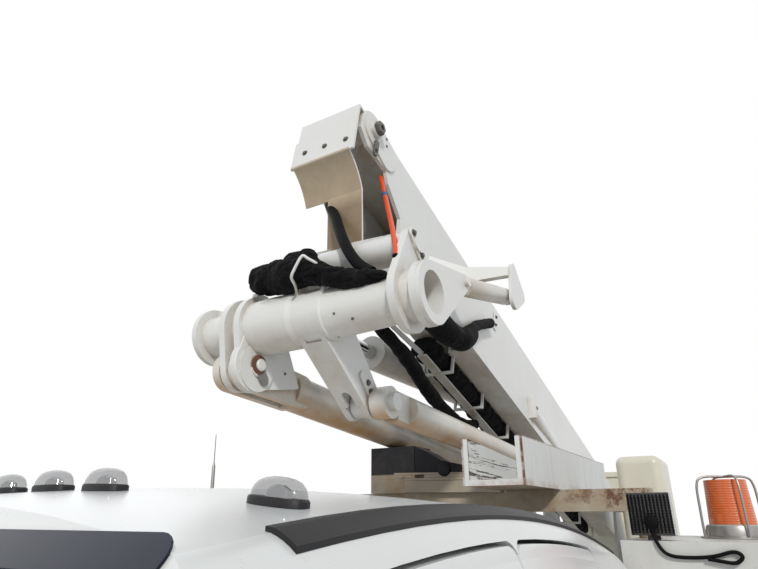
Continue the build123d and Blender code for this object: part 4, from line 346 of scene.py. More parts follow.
clear("glass", (0.03, 0.055, 0.075), 0.8)
clear("dome", (0.16, 0.165, 0.17), 0.42, rough=0.08)
clear("red", (0.4, 0.01, 0.01), 0.92)
sleeve_fabric()
board_paint()
rest_paint()
lamp_lenses()


def pair(stem):
    """Names of the left and the right one of two nodes."""
    return f"{stem}_left", f"{stem}_right"


CORNERS = ("front_left", "front_right", "rear_left", "rear_right")
NODE_MATERIALS = {
    "cab_white": ("cab_shell", *pair("front_door"), *pair("rear_door"), "hood", "front_fenders"),
    "boom_main": ("boom",),
    "boom_white": ("turntable",),
    "elbow_white": ("elbow_knuckle",),
    "arm_white": ("riser", "lower_link"),
    "cylinder_white": ("lift_barrel", "level_barrel"),
    "body_white": ("service_body", *pair("tall_body_door"), *pair("rear_body_door"), "pedestal"),
    "rest_black": ("boom_rest",),
    "wheel_white": [f"{corner}_wheel" for corner in CORNERS],
    "chassis_black": ("frame_rails", "rear_bumper", "raise_barrel", "running_boards",
                      *pair("stabiliser_leg")),
    "cast_black": ("axles", "engine_block", *pair("steering_knuckle")),
    "trim_black": ("grille", "roof_mouldings"),
    "fibreglass": ("inner_boom", "bucket", "turntable_cover"),
    "interior": ("cab_interior",),
    "rubber": [f"{corner}_tyre" for corner in CORNERS],
    "chrome": ("front_bumper", "lift_rod", "level_rod", "raise_rod"),
    "glass": ("cab_glass", *pair("front_door_glass"), *pair("rear_door_glass")),
    "dome": ("roof_lamps",),
    "lamps": ("vehicle_lamps",),
    "boards": ("tool_tray",),
    "sleeve": ("boom_hoses", "elbow_sleeve"),
}
for key, names in NODE_MATERIALS.items():
    for name in names:
        for material_slot in nodes[name].material_slots:
            material_slot.material = MATERIALS[key]


# Outlines and lines
def turns(count):
    """Angles that go once round in equal steps."""
    return [2 * pi * step / count for step in range(count)]


def squarish(way, power):
    """Cosine and sine of an angle, pushed out towards the corners of a square."""
    return [copysign(abs(part) ** power, part) for part in (cos(way), sin(way))]


def arc(middle, radius, first, last, step):
    """Points on a circle, from angle to angle in degrees."""
    ways = [radians(turn) for turn in range(first, last, step)]
    return [(middle[0] + radius * cos(way), middle[1] + radius * sin(way)) for way in ways]


def stadium(start, end, radius):
    """Outline of a bar with round ends between two points of a plane."""
    way = atan2(end[1] - start[1], end[0] - start[0])
    outline = []
    for centre, first in ((end, way - pi / 2), (start, way + pi / 2)):
        for step in range(11):
            turn = first + pi * step / 10
            outline.append((centre[0] + radius * cos(turn), centre[1] + radius * sin(turn)))
    return outline


def smooth_line(points, per_span=8):
    """Rounded line through points, for bent rods."""
    points = [Vector(p) for p in points]
    guides = [points[0] * 2 - points[1], *points, points[-1] * 2 - points[-2]]
    line = []
    for a, b, c, d in zip(guides, guides[1:], guides[2:], guides[3:]):
        for step in range(per_span):
            t = step / per_span
            line.append(0.5 * ((2 * b) + (c - a) * t + (2 * a - 5 * b + 4 * c - d) * t * t
                               + (3 * b - a - 3 * c + d) * t ** 3))
    line.append(points[-1])
    return line


def square_to(normal):
    """Two directions square to a normal and to each other."""
    guide = AHEAD if abs(normal.z) > 0.95 else UP
    side = guide.cross(normal).normalized()
    return side, normal.cross(side)


class Shape:
    """A piece being made from plates, turned parts, bolts and tubes."""

    def __init__(self):
        self.mesh = bmesh.new()

    def ring(self, points):
        return [self.mesh.verts.new(point) for point in points]

    def skin(self, rings, loop=False):
        """Faces between neighbouring closed rings, a lone point being a tip. Ends are capped or joined."""
        pairs = list(zip(rings, rings[1:]))
        if loop:
            pairs.append((rings[-1], rings[0]))
        for low, high in pairs:
            count = max(len(low), len(high))
            for step in range(count):
                after = (step + 1) % count
                if len(low) == 1:
                    corners = (low[0], high[step], high[after])
                elif len(high) == 1:
                    corners = (low[step], low[after], high[0])
                else:
                    corners = (low[step], low[after], high[after], high[step])
                self.mesh.faces.new(corners)
        if not loop:
            for end in (rings[0][::-1], rings[-1]):
                if len(end) > 1:
                    self.mesh.faces.new(end)

    def lathe(self, origin, normal, profile, sides=24):
        """Solid turned about a normal from (radius, height) pairs."""
        origin, normal = Vector(origin), Vector(normal).normalized()
        one, two = square_to(normal)
        rings = []
        for radius, height in profile:
            centre = origin + normal * height
            ways = turns(sides) if radius else [0]
            rings.append(self.ring(centre + (one * cos(way) + two * sin(way)) * radius
                                   for way in ways))
        self.skin(rings)

    def bolt(self, origin, normal, across_flats, height):
        """Hexagon head on a washer."""
        radius = across_flats / 2
        self.lathe(origin, normal, ((radius * 1.55, -0.001), (radius * 1.55, 0.0018), (0, 0.0018)), 20)
        self.lathe(origin, normal,
                   ((radius, 0), (radius, height * 0.8), (radius * 0.78, height), (0, height)), 6)

    def plate(self, outline, origin, one, two, depth):
        """Flat plate: an outline of (a, b) pairs in the plane of two directions, given a depth."""
        origin, one, two = Vector(origin), Vector(one), Vector(two)
        normal = one.cross(two).normalized()
        low = self.ring(origin + one * a + two * b for a, b in outline)
        self.skin([low, self.ring(vertex.co + normal * depth for vertex in low)])

    def side_plate(self, outline, y, depth):
        """Plate of (x, z) pairs, from y towards the far side."""
        self.plate(outline, NEAR * y, AHEAD, UP, depth)

    def cross_plate(self, outline, x, depth):
        """Plate of (y, z) pairs, from x backward."""
        self.plate(outline, AHEAD * x, NEAR, UP, -depth)

    def box(self, corner, opposite):
        low, high = zip(*(sorted(ends) for ends in zip(corner, opposite)))
        outline = ((low[0], low[1]), (high[0], low[1]), (high[0], high[1]), (low[0], high[1]))
        self.plate(outline, UP * low[2], AHEAD, NEAR, high[2] - low[2])

    def tube(self, line, radius, sides=12, swell=lambda share, way, point: 1):
        """Tube along a line. Swell gives a factor for its radius from the place along it and round it."""
        last = len(line) - 1
        side = square_to((line[1] - line[0]).normalized())[0]
        rings = []
        for index, point in enumerate(line):
            forward = (line[min(index + 1, last)] - line[max(index - 1, 0)]).normalized()
            side = (side - forward * side.dot(forward)).normalized()
            up = forward.cross(side)
            reach = [radius * swell(index / last, way, point) for way in turns(sides)]
            rings.append(self.ring(point + (side * cos(way) + up * sin(way)) * far
                                   for way, far in zip(turns(sides), reach)))
        self.skin(rings)

    def as_object(self, name):
        """Object made of the shape, its faces looking outward."""
        bmesh.ops.recalc_face_normals(self.mesh, faces=self.mesh.faces)
        data = bpy.data.meshes.new(name)
        self.mesh.to_mesh(data)
        self.mesh.free()
        return add_object(name, data)

    def done(self, name, material, body, slot, bevel=0.0, angle=35, replaces=()):
        """Finish the piece, and let it ride on a body."""
        piece = self.as_object(name)
        piece.data.shade_smooth()
        piece.data.set_sharp_from_angle(angle=radians(angle))
        piece.data.materials.append(MATERIALS[material])
        if bevel:
            edge = piece.modifiers.new("edge", "BEVEL")
            edge.width = bevel
            edge.segments = 2
            edge.angle_limit = radians(40)
            edge.harden_normals = True
        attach(piece, body)
        if replaces:
            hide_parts(*replaces)
        return piece


# Free hoses at the boom's head, and the cable of the work lamp
def hose_curve(name, points, diameter, material, body):
    """Hose on one smooth spline through its route's points."""
    data = bpy.data.curves.new(name, "CURVE")
    data.dimensions = "3D"
    data.bevel_depth = diameter / 2
    data.bevel_resolution = 4
    data.resolution_u = 16
    data.use_fill_caps = True
    spline = data.splines.new("NURBS")
    spline.points.add(len(points) - 1)
    for target, point in zip(spline.points, points):
        target.co = (*point, 1)
    spline.order_u = 3
    spline.use_endpoint_u = True
    hose = add_object(name, data)
    data.materials.append(MATERIALS[material])
    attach(hose, body)
    return hose


BLACK_HOSE = ((0.812, -0.02, 3.1), (0.857, 0.04, 3.02), (0.915, 0.1, 2.925), (0.962, 0.155, 2.838),
              (0.978, 0.2, 2.765), (0.986, 0.244, 2.714), (0.99, 0.285, 2.688))
ORANGE_HOSE = ((0.7006, 0.14, 3.2353), (0.735, 0.173, 3.147), (0.775, 0.208, 3.073), (0.83, 0.252, 2.979),
               (0.885, 0.295, 2.892), (0.945, 0.338, 2.803), (0.985, 0.368, 2.733), (0.985, 0.365, 2.709))
WORK_CABLE = ((0.166, 0.8412, 1.972), (0.186, 0.8412, 1.956), (0.196, 0.8524, 1.9186),
              (0.196, 0.8757, 1.8879), (0.196, 0.9363, 1.8842), (0.196, 1.0045, 1.8891),
              (0.196, 1.0596, 1.908), (0.199, 1.082, 1.893), (0.202, 1.0603, 1.8728),
              (0.202, 1.0281, 1.8763), (0.2, 0.985, 1.8834))
black_hose = hose_curve("head_black_hose", BLACK_HOSE, 0.038, "hose", "outer_boom")
orange_hose = hose_curve("head_orange_hose", ORANGE_HOSE, 0.018, "orange", "outer_boom")
work_cable = hose_curve("work_lamp_cable", WORK_CABLE, 0.011, "hose", "chassis")


def orange_hose_fittings():
    """Blue band round the orange hose and the black tip at its end."""
    band_length = 0.028
    upper, lower = Vector(ORANGE_HOSE[1]), Vector(ORANGE_HOSE[2])
    along = (lower - upper).normalized()
    band = Shape()
    band.lathe((upper + lower) / 2 - along * band_length / 2, along,
               ((0.0093, 0), (0.0104, 0.002), (0.0104, 0.026), (0.0093, band_length)), 20)
    tip = Shape()
    tip.lathe(Vector(ORANGE_HOSE[-1]) + UP * 0.022, -UP,
              ((0.0093, 0), (0.0108, 0.002), (0.0108, 0.024), (0.007, 0.026), (0, 0.026)), 20)
    return (band.done("orange_hose_band", "band_blue", "outer_boom", "trim_black"),
            tip.done("orange_hose_tip", "hose", "outer_boom", "trim_black"))


hose_band, hose_tip = orange_hose_fittings()

# Tyres with a cut tread
TYRE_RADIUS = 0.405
RIM_RADIUS = 0.252
CROWN_DROP = 0.014
CROWN_NEAR = 0.004
TREAD_HALF = 0.098
BEAD_HALF = 0.092
WALL_BULGE = 0.017
WALL_STEPS = 12
WALL_RIBS = (3, 9)
RIB_HEIGHT = 0.0012
TREAD_STEPS = 192
GROOVES = (-0.052, -0.018, 0.018, 0.052)
GROOVE_HALF = 0.0045
GROOVE_DEPTH = 0.011
CROWN_MARKS = (-0.09, -0.074, -0.036, 0.0, 0.036, 0.074, 0.09)
SHOULDER_FROM = 0.057
SHOULDER_DEPTH = 0.016
SHOULDER_CUT = 0.009
SIPE_WITHIN = 0.04
SIPE_CUT = 0.004


def tyre_section():
    """Offsets and radii across a tyre, bead to bead, with four grooves cut in the tread."""
    wall = []
    for step in range(WALL_STEPS + 1):
        share = step / WALL_STEPS
        radius = RIM_RADIUS + (TYRE_RADIUS - CROWN_DROP - RIM_RADIUS) * share
        bulge = sin(pi * min(1, share * 1.05)) ** 0.7
        rib = RIB_HEIGHT if step in WALL_RIBS else 0
        wall.append((BEAD_HALF + 0.006 * share + WALL_BULGE * bulge + rib, radius))
    marks = [(y, 0) for y in CROWN_MARKS]
    for centre in GROOVES:
        marks += [(centre + GROOVE_HALF * share, deep)
                  for share, deep in ((-1, 0), (-0.6, 1), (0.6, 1), (1, 0))]
    tread = [(y, TYRE_RADIUS - CROWN_DROP * (y / TREAD_HALF) ** 2 * 0.75 - GROOVE_DEPTH * deep)
             for y, deep in sorted(marks)]
    return [(-half, radius) for half, radius in wall] + tread + wall[::-1]


def add_tyre(shape, x, y):
    """Tyre with slots across its shoulders and sipes across its middle."""
    section = tyre_section()
    rings = []
    for step, way in enumerate(turns(TREAD_STEPS)):
        ring = []
        for offset, radius in section:
            shoulder = step % 4 == 0 and abs(offset) > SHOULDER_FROM and radius > TYRE_RADIUS - SHOULDER_DEPTH
            sipe = step % 6 == 0 and abs(offset) < SIPE_WITHIN and abs(radius - TYRE_RADIUS) < CROWN_NEAR
            reach = radius - (SHOULDER_CUT if shoulder else SIPE_CUT if sipe else 0)
            ring.append((x + reach * cos(way), y + offset, TYRE_RADIUS + reach * sin(way)))
        rings.append(shape.ring(ring))
    shape.skin(rings, loop=True)


# Wheels of an axle: its x, middles of the tyres, face of the disc
AXLES = {"front": (3.005, (0.930,), 0.992), "rear": (-1.875, (0.810, 1.080), 1.002)}
NUT_CIRCLE = 0.1125
NUT_COUNT = 8
VALVE_CIRCLE = 0.222
VALVE_TURN = 2.2


def on_disc(axle_x, y, radius, way):
    return axle_x + radius * cos(way), y, TYRE_RADIUS + radius * sin(way)


def dress_wheel(end, side, word):
    """Treaded tyres, wheel nuts and the valve of one wheel."""
    axle_x, middles, face = AXLES[end]
    wheel = f"{end}_{word}"
    body = f"wheel_{end[0]}{word[0]}"
    outward = NEAR * side
    tyres = Shape()
    for middle in middles:
        add_tyre(tyres, axle_x, side * middle)
    tyres.done(f"{wheel}_treaded_tyre", "rubber", body, "tyre_black", angle=30, replaces=(f"{wheel}_tyre",))
    nuts = Shape()
    for way in turns(NUT_COUNT):
        nuts.bolt(on_disc(axle_x, side * face, NUT_CIRCLE, way), outward, 0.033, 0.028)
    nuts.lathe(on_disc(axle_x, side * (face - 0.02), VALVE_CIRCLE, VALVE_TURN), outward,
               ((0.006, 0), (0.006, 0.022), (0.0045, 0.028), (0, 0.028)), 12)
    nuts.done(f"{wheel}_wheel_nuts", "steel", body, "rod_chrome")


for end in AXLES:
    for side, word in SIDES:
        dress_wheel(end, side, word)

# Bolts of the boom's head: on the sloping cover, on the near side plate, a pin nut and its keeper
COVER_NORMAL = (0.9839, 0, 0.1796)
COVER_BOLTS = ((0.9279, -0.0594, 3.2835), (0.9286, 0.0337, 3.28), (0.9297, 0.1299, 3.2736))
SIDE_BOLTS = ((0.715, 0.172, 3.3897), (0.7153, 0.172, 3.3561))
shape = Shape()
for place in COVER_BOLTS:
    shape.bolt(place, COVER_NORMAL, 0.015, 0.007)
for place in SIDE_BOLTS:
    shape.bolt(place, NEAR, 0.013, 0.008)
shape.lathe((0.803, 0.191, 3.3756), NEAR,
            ((0.029, 0), (0.029, 0.016), (0.024, 0.021), (0.012, 0.021), (0.01, 0.012), (0, 0.012)), 6)
shape.plate(stadium((0, 0), (0.012, -0.052), 0.013), (0.7975, 0.179, 3.318), AHEAD, UP, -0.007)
shape.bolt((0.806, 0.186, 3.281), NEAR, 0.014, 0.007)
shape.done("head_bolts", "pin_steel", "outer_boom", "cast_black", bevel=0.0008)

# Elbow: caps and keepers of its pins, the gusset at the riser's pin, and the rust and wear there
RISER_PIN_X = 0.939
RISER_PIN_Z = 2.4756
LINK_KEEPER = ((0.742, 2.4416), (0.6541, 2.344))
BOOM_KEEPER = ((0.9196, 2.8248), (0.868, 2.7664))
shape = Shape()
shape.lathe((0.931, -0.197, RISER_PIN_Z), NEAR,
            ((0.022, -0.004), (0.022, 0.006), (0.018, 0.01), (0, 0.01)), 28)
shape.side_plate(stadium(*LINK_KEEPER, 0.017), 0.0905, -0.008)
shape.side_plate(stadium(*BOOM_KEEPER, 0.02), 0.3855, -0.008)
shape.done("pin_keepers", "elbow_white", "elbow", "boom_white", bevel=0.0015)

shape = Shape()
shape.side_plate([(0.905, 2.733), (0.958, 2.733), *arc((0.95, 2.47), 0.088, 35, -111, -12), (0.9, 2.43),
                  (0.9, 2.6)], -0.2065, 0.028)
shape.done("riser_pin_gusset", "elbow_white", "elbow", "boom_white", bevel=0.003)

shape = Shape()
shape.lathe((RISER_PIN_X, -0.1965, RISER_PIN_Z), NEAR,
            ((0.033, -0.004), (0.033, 0.003), (0.02, 0.003), (0.02, 0.001), (0, 0.001)), 28)
shape.done("riser_pin_rust_ring", "pin_rust", "elbow", "cast_black")

shape = Shape()
shape.side_plate(stadium((0.922, 2.446), (0.908, 2.43), 0.021), -0.1975, -0.0022)
shape.done("riser_pin_wear_mark", "steel", "elbow", "rod_chrome", bevel=0.0008)

shape = Shape()
for x, y, z in ((0.7154, 0.099, 2.423), (0.6998, 0.099, 2.3947), *((x, 0.394, z) for x, z in BOOM_KEEPER)):
    shape.bolt((x, y, z), NEAR, 0.015, 0.008)
shape.lathe((0.7881, -0.2095, 2.4768), NEAR, ((0.006, -0.001), (0.006, 0.0006), (0, 0.0006)), 16)
shape.done("elbow_bolts", "pin_steel", "elbow", "cast_black", bevel=0.0006)

# Grease nipples on the front of the elbow's tube
TUBE_X = 0.925
TUBE_Z = 2.61
TUBE_RADIUS = 0.082
NIPPLES = ((-0.2995, 2.5583), (0.12, 2.4959), (0.1537, 2.5769), (0.0117, 2.6042), (0.2118, 2.5536))
shape = Shape()
for y, z in NIPPLES:
    rise = z - TUBE_Z
    outward = Vector((sqrt(max(0, TUBE_RADIUS ** 2 - rise * rise)), 0, rise)).normalized()
    shape.lathe(Vector((TUBE_X, y, TUBE_Z)) + outward * (TUBE_RADIUS + 0.0002), outward,
                ((0.0042, -0.004), (0.0042, 0.0012), (0.0025, 0.0022), (0, 0.0022)), 10)
shape.done("tube_grease_nipples", "pin_steel", "elbow", "cast_black")

# Bent hoop over the bag, and the two gussets at its foot
HOOP = ((0.985, -0.008, 2.672), (1.012, 0.006, 2.69), (1.045, 0.024, 2.692), (1.072, 0.0372, 2.7001),
        (1.078, 0.0617, 2.7344), (1.076, 0.075, 2.756), (1.072, 0.0825, 2.76), (1.062, 0.0916, 2.7524),
        (1.045, 0.1055, 2.7426), (1.03, 0.112, 2.735))
GUSSET_THICKNESS = 0.014
shape = Shape()
shape.tube(smooth_line(HOOP), 0.0048)
for y, lean in ((0.004, 0.02), (0.108, 0.016)):
    shape.side_plate(((0.93, 2.69), (1.000, 2.652), (0.985, 2.69 + lean), (0.955, 2.698 + lean)), y,
                     GUSSET_THICKNESS)
shape.done("sleeve_hoop", "elbow_white", "elbow", "boom_white")

# Antenna behind the cab's roof
shape = Shape()
shape.lathe((0.615, -0.7, 2.03), (0.04, 0, 1),
            ((0.022, 0), (0.022, 0.012), (0.012, 0.03), (0.0075, 0.035), (0.0065, 0.16), (0.004, 0.17),
             (0.0022, 0.18), (0.0014, 0.285), (0, 0.286)), 12)
shape.done("roof_antenna", "steel", "chassis", "rod_chrome")

# Amber beacon's wire guard: two hoops square to each other on a round foot
BEACON = Vector((-0.2, 1.06, 0))
BEACON_FOOT = 1.931
GUARD_TOP = 2.135
GUARD_HALF = 0.104
GUARD_TURN = 0.45
GUARD_SIDE = ((1, BEACON_FOOT), (0.99, 2.02), (0.95, GUARD_TOP - 0.028), (0.72, GUARD_TOP))
shape = Shape()
for turn in (GUARD_TURN, GUARD_TURN + pi / 2):
    way = Vector((cos(turn), sin(turn), 0))
    hoop = [(-share, z) for share, z in GUARD_SIDE] + [(0, GUARD_TOP + 0.002)] + list(GUARD_SIDE[::-1])
    shape.tube(smooth_line([BEACON + way * (share * GUARD_HALF) + UP * z for share, z in hoop]), 0.0042)
shape.lathe(BEACON + UP * BEACON_FOOT, UP,
            ((0.11, 0), (0.11, 0.005), (0.092, 0.008), (0.092, 0.024), (0.088, 0.04), (0, 0.04)), 48)
shape.done("beacon_guard", "steel", "chassis", "rod_chrome")

# Fins and cable gland on the back of the work lamp
LAMP_BACK_X = 0.164
FIN_PITCH = 0.0111
FIN_HALF = 0.0022
shape = Shape()
for row in range(12):
    y = 0.779 + row * FIN_PITCH
    shape.box((LAMP_BACK_X, y - FIN_HALF, 1.952), (LAMP_BACK_X + 0.01, y + FIN_HALF, 2.068))
shape.lathe((LAMP_BACK_X, 0.84, 1.985), AHEAD, ((0.022, 0), (0.022, 0.011), (0.012, 0.016), (0, 0.016)), 20)
shape.done("work_lamp_fins", "hose", "chassis", "trim_black", bevel=0.0008)

# Roof marker lamps: clear domes on black feet with a bright reflector inside
ROOF_LAMP_X = 1.675
ROOF_LAMP_SIDES = (-0.56, -0.16, 0.0, 0.16, 0.56)
LAMP_REACH = 0.07
LAMP_LIFT = 0.001
LAMP_SEAT = 0.05
LAMP_HALF_LENGTH = 0.025
LAMP_HALF_WIDTH = 0.052
LAMP_FOOT = ((1.0, -0.004), (1.0, 0.007), (0.95, 0.01), (0.0, 0.01))
LAMP_DOME = ((0.93, 0.009), (0.91, 0.016), (0.84, 0.024), (0.7, 0.031), (0.48, 0.0355), (0.24, 0.0375),
             (0.0, 0.038))
LAMP_BRIGHT = ((0.45, 0.01), (0.4, 0.02), (0.2, 0.026), (0.0, 0.027))


def lamp_seat(points, y):
    """Middle of a roof lamp's foot on the roof, and the roof's slope across the truck there."""
    own = [p for p in points if abs(p.y - y) < LAMP_REACH]
    far = min((p for p in own if p.y < y), key=lambda p: p.z)
    near = min((p for p in own if p.y > y), key=lambda p: p.z)
    lean = (near.z - far.z) / (near.y - far.y)
    height = min(p.z for p in own) + LAMP_LIFT + abs(lean) * LAMP_SEAT
    return Vector((ROOF_LAMP_X, y, height)), Vector((0, 1, lean)).normalized()


def add_lamp_part(shape, middle, slope, rows):
    """Squarish turned part from (share of the foot's size, height) pairs."""
    up = AHEAD.cross(slope)
    rings = []
    for share, height in rows:
        ring = []
        for way in (turns(40) if share else [0]):
            a, b = squarish(way, 0.8)
            flat = AHEAD * (a * LAMP_HALF_LENGTH) + slope * (b * LAMP_HALF_WIDTH)
            ring.append(middle + flat * share + up * height)
        rings.append(shape.ring(ring))
    shape.skin(rings)


def roof_lamps():
    lens_points = [v.co.copy() for v in nodes["roof_lamps"].data.vertices]
    feet, reflectors, domes = Shape(), Shape(), Shape()
    for y in ROOF_LAMP_SIDES:
        middle, slope = lamp_seat(lens_points, y)
        for shape, rows in ((feet, LAMP_FOOT), (domes, LAMP_DOME), (reflectors, LAMP_BRIGHT)):
            add_lamp_part(shape, middle, slope, rows)
    feet.done("roof_lamp_feet", "trim_black", "chassis", "trim_black")
    reflectors.done("roof_lamp_reflectors", "chrome", "chassis", "rod_chrome")
    domes.done("roof_lamp_domes", "dome", "chassis", "lamp_lens", replaces=("roof_lamps",))


roof_lamps()

# The boom's own directions: u runs down the boom from its pivot, v stands square to it
BOOM_TILT = radians(17.6)
BOOM_DOWN = Vector((-cos(BOOM_TILT), 0, -sin(BOOM_TILT)))
BOOM_UP = Vector((-sin(BOOM_TILT), 0, cos(BOOM_TILT)))
PIVOT = Vector((0.887, 0, 2.8))

# Hose tray below the boom, whose hoops pinch the bundle in it
TRAY_TOP_V = 0.262
TRAY_LOW_V = 0.149
TRAY_HOOPS = [0.986 + 0.37 * hoop for hoop in range(8)]
BUNDLE_START = 0.835
BUNDLE_END = 3.56
BUNDLE_STEPS = 420
BUNDLE_HALF_WIDTH = 0.064
BUNDLE_HALF_HEIGHT = 0.05
BUNDLE_MIDDLE_Y = -0.034


def creases(share, way, point, count, seed):
    """Swelling of a fabric sleeve: soft folds round it, broken up by noise."""
    broken = noise.noise(point * 7 + Vector((seed, 0, 0)))
    fold = sin(share * count * 2 * pi + 4.0 * broken + 1.6 * sin(way + seed))
    lump = noise.noise(point * 21 + Vector((0, seed, 0)))
    return 1 + 0.022 * fold + 0.11 * lump + 0.08 * broken


def tray_bundle():
    """Flat bundle that fills the hose tray and bulges between its hoops."""
    shape = Shape()
    rings = []
    for index in range(BUNDLE_STEPS + 1):
        u = BUNDLE_START + (BUNDLE_END - BUNDLE_START) * index / BUNDLE_STEPS
        nearest = min(abs(u - hoop) for hoop in TRAY_HOOPS)
        pinch = 1 - 0.16 * exp(-(nearest / 0.03) ** 2)
        v = (TRAY_TOP_V + TRAY_LOW_V) / 2 - 0.006 * (1 - exp(-(nearest / 0.1) ** 2))
        centre = PIVOT + BOOM_DOWN * u + BOOM_UP * v + NEAR * BUNDLE_MIDDLE_Y
        ring = []
        for way in turns(36):
            swell = creases(index / BUNDLE_STEPS, way, centre, 46, 3) * pinch
            a, b = squarish(way, 0.75)
            ring.append(centre + NEAR * (a * BUNDLE_HALF_WIDTH * swell)
                        + BOOM_UP * (b * BUNDLE_HALF_HEIGHT * swell))
        rings.append(shape.ring(ring))
    shape.skin(rings)
    shape.done("tray_hose_sleeve", "sleeve", "outer_boom", "sleeve_black", angle=80, replaces=("boom_hoses",))


tray_bundle()

# Front end of the hose tray's rail, up to the elbow
shape = Shape()
shape.side_plate(((0.3575, 2.7508), (0.3022, 2.764), (0.0634, 2.7123), (-0.0067, 2.6975), (0.0582, 2.6827),
                  (0.1323, 2.6981)), -0.027, 0.006)
shape.done("hose_tray_rail_end", "boom_white", "outer_boom", "boom_white", bevel=0.001)

# What the boom rest carries beside its block: a black pad holder, and a slotted rail over a beam
REST_FRONT_X = -0.0385
REST_RAIL = (
    ((-0.238, 2.187), (0.107, 2.179), (0.1065, 2.1745), (-0.15, 2.1745), (-0.238, 2.177)),
    ((-0.238, 2.177), (-0.15, 2.1745), (-0.15, 2.161), (-0.225, 2.161)),
    ((-0.085, 2.1745), (0.1065, 2.1745), (0.106, 2.16), (-0.085, 2.161)),
    ((-0.225, 2.161), (0.106, 2.16), (0.105, 2.147), (-0.223, 2.152)),
    ((-0.181, 2.1512), (0.265, 2.143), (0.265, 2.094), (-0.182, 2.101)),
)
shape = Shape()
shape.cross_plate(((-0.13, 2.3), (-0.061, 2.268), (0.0, 2.232), (0.105, 2.206), (0.103, 2.179),
                   (-0.13, 2.181)), REST_FRONT_X, 0.1)
shape.lathe((REST_FRONT_X, 0.015, 2.193), AHEAD,
            ((0.03, -0.004), (0.03, 0.01), (0.02, 0.016), (0, 0.016)), 20)
shape.done("rest_pad_holder", "rest_dark", "chassis", "trim_black", bevel=0.004)
shape = Shape()
for outline in REST_RAIL:
    shape.cross_plate(outline, REST_FRONT_X, 0.05)
shape.bolt((REST_FRONT_X, -0.193, 2.167), AHEAD, 0.014, 0.01)
shape.done("rest_slotted_rail", "rest_tan", "chassis", "boom_white", bevel=0.0015)

# Two slack sleeves below the boom: one back along the tray, one looped up to the boom's near side
TRAY_SLEEVE = ((0.46, -0.06, 2.762), (0.409, -0.06, 2.75), (0.355, -0.06, 2.731), (0.265, -0.06, 2.703),
               (0.171, -0.06, 2.67), (0.093, -0.06, 2.631), (0.013, -0.06, 2.583), (-0.077, -0.06, 2.538),
               (-0.189, -0.06, 2.495), (-0.325, -0.058, 2.456), (-0.45, -0.052, 2.44), (-0.56, -0.045, 2.455))
NEAR_SLEEVE = ((0.5, 0.16, 2.765), (0.3557, 0.185, 2.735), (0.2748, 0.2, 2.705), (0.19, 0.215, 2.695),
               (0.125, 0.222, 2.712), (0.07, 0.215, 2.748), (0.03, 0.208, 2.778), (-0.03, 0.2, 2.808),
               (-0.1, 0.195, 2.84), (-0.19, 0.192, 2.871), (-0.27, 0.19, 2.898))


def slack_sleeve(name, points, radius, folds, seed, girth):
    shape = Shape()
    shape.tube(smooth_line(points, 24), radius, 30,
               lambda share, way, point: creases(share, way, point, folds, seed) * girth(share))
    shape.done(name, "sleeve", "outer_boom", "sleeve_black", angle=80)


slack_sleeve("slack_hose_sleeve", TRAY_SLEEVE, 0.031, 9, 11,
             lambda share: 0.9 + 0.2 * sin(pi * share) ** 2)
slack_sleeve("near_hose_sleeve", NEAR_SLEEVE, 0.024, 7, 23,
             lambda share: 1 + 1.15 / (1 + exp((share - 0.52) * 24)))

# Clamp that holds the near sleeve to the boom
shape = Shape()
shape.side_plate(stadium((-0.41, 2.985), (-0.385, 2.915), 0.02), 0.171, -0.006)
shape.done("boom_side_clamp", "boom_white", "outer_boom", "boom_white", bevel=0.0015)


def side_stop():
    """Upright tab on the boom's near side with a half-round fairing that thins out behind it."""
    shape = Shape()
    shape.side_plate(((-0.85, 2.63), (-0.838, 2.63), (-0.838, 2.51), (-0.85, 2.505)), 0.1702, -0.04)
    front, back = Vector((-0.85, 0.17, 2.568)), Vector((-1.46, 0.17, 2.385))
    rings = []
    for step in range(15):
        share = step / 14
        half = 0.055 * (1 - 0.35 * share)
        proud = 0.036 * (1 - share) ** 0.8 + 0.001
        rings.append(shape.ring(front.lerp(back, share) + NEAR * (proud * sin(pi * k / 12))
                                + UP * (half * cos(pi * k / 12)) for k in range(13)))
    shape.skin(rings)
    shape.done("boom_side_stop", "boom_white", "outer_boom", "boom_white")


side_stop()
shape = Shape()
for place, across_flats in (((-0.405, 0.177, 2.972), 0.013), ((-0.39, 0.177, 2.925), 0.013),
                            ((-0.885, 0.202, 2.566), 0.018)):
    shape.bolt(place, NEAR, across_flats, 0.008)
shape.done("boom_side_bolts", "pin_steel", "outer_boom", "cast_black", bevel=0.0006)

# The crumpled bag over the hoses that cross the elbow. A section is y, middle x and z, half width and height
BAG_SECTIONS = (
    (-0.213, 0.99, 2.76, 0.01, 0.012), (-0.203, 0.99, 2.759, 0.03, 0.034),
    (-0.18, 0.991, 2.757, 0.044, 0.054),
    (-0.15, 0.992, 2.754, 0.049, 0.063), (-0.1, 0.995, 2.75, 0.05, 0.073), (-0.04, 0.999, 2.748, 0.05, 0.08),
    (0.005, 1.004, 2.75, 0.05, 0.08), (0.045, 1.006, 2.748, 0.049, 0.078), (0.075, 1.008, 2.74, 0.048, 0.07),
    (0.095, 1.01, 2.722, 0.047, 0.058), (0.13, 1.008, 2.703, 0.044, 0.045), (0.18, 1.003, 2.69, 0.04, 0.034),
    (0.24, 1, 2.68, 0.037, 0.028), (0.3, 0.998, 2.674, 0.033, 0.023), (0.335, 0.997, 2.671, 0.024, 0.016),
    (0.345, 0.997, 2.67, 0.01, 0.006),
)
BAG_VOXEL = 0.0055
BAG_MOST_PUFF = 0.012
PUFF_FRAMES = 20


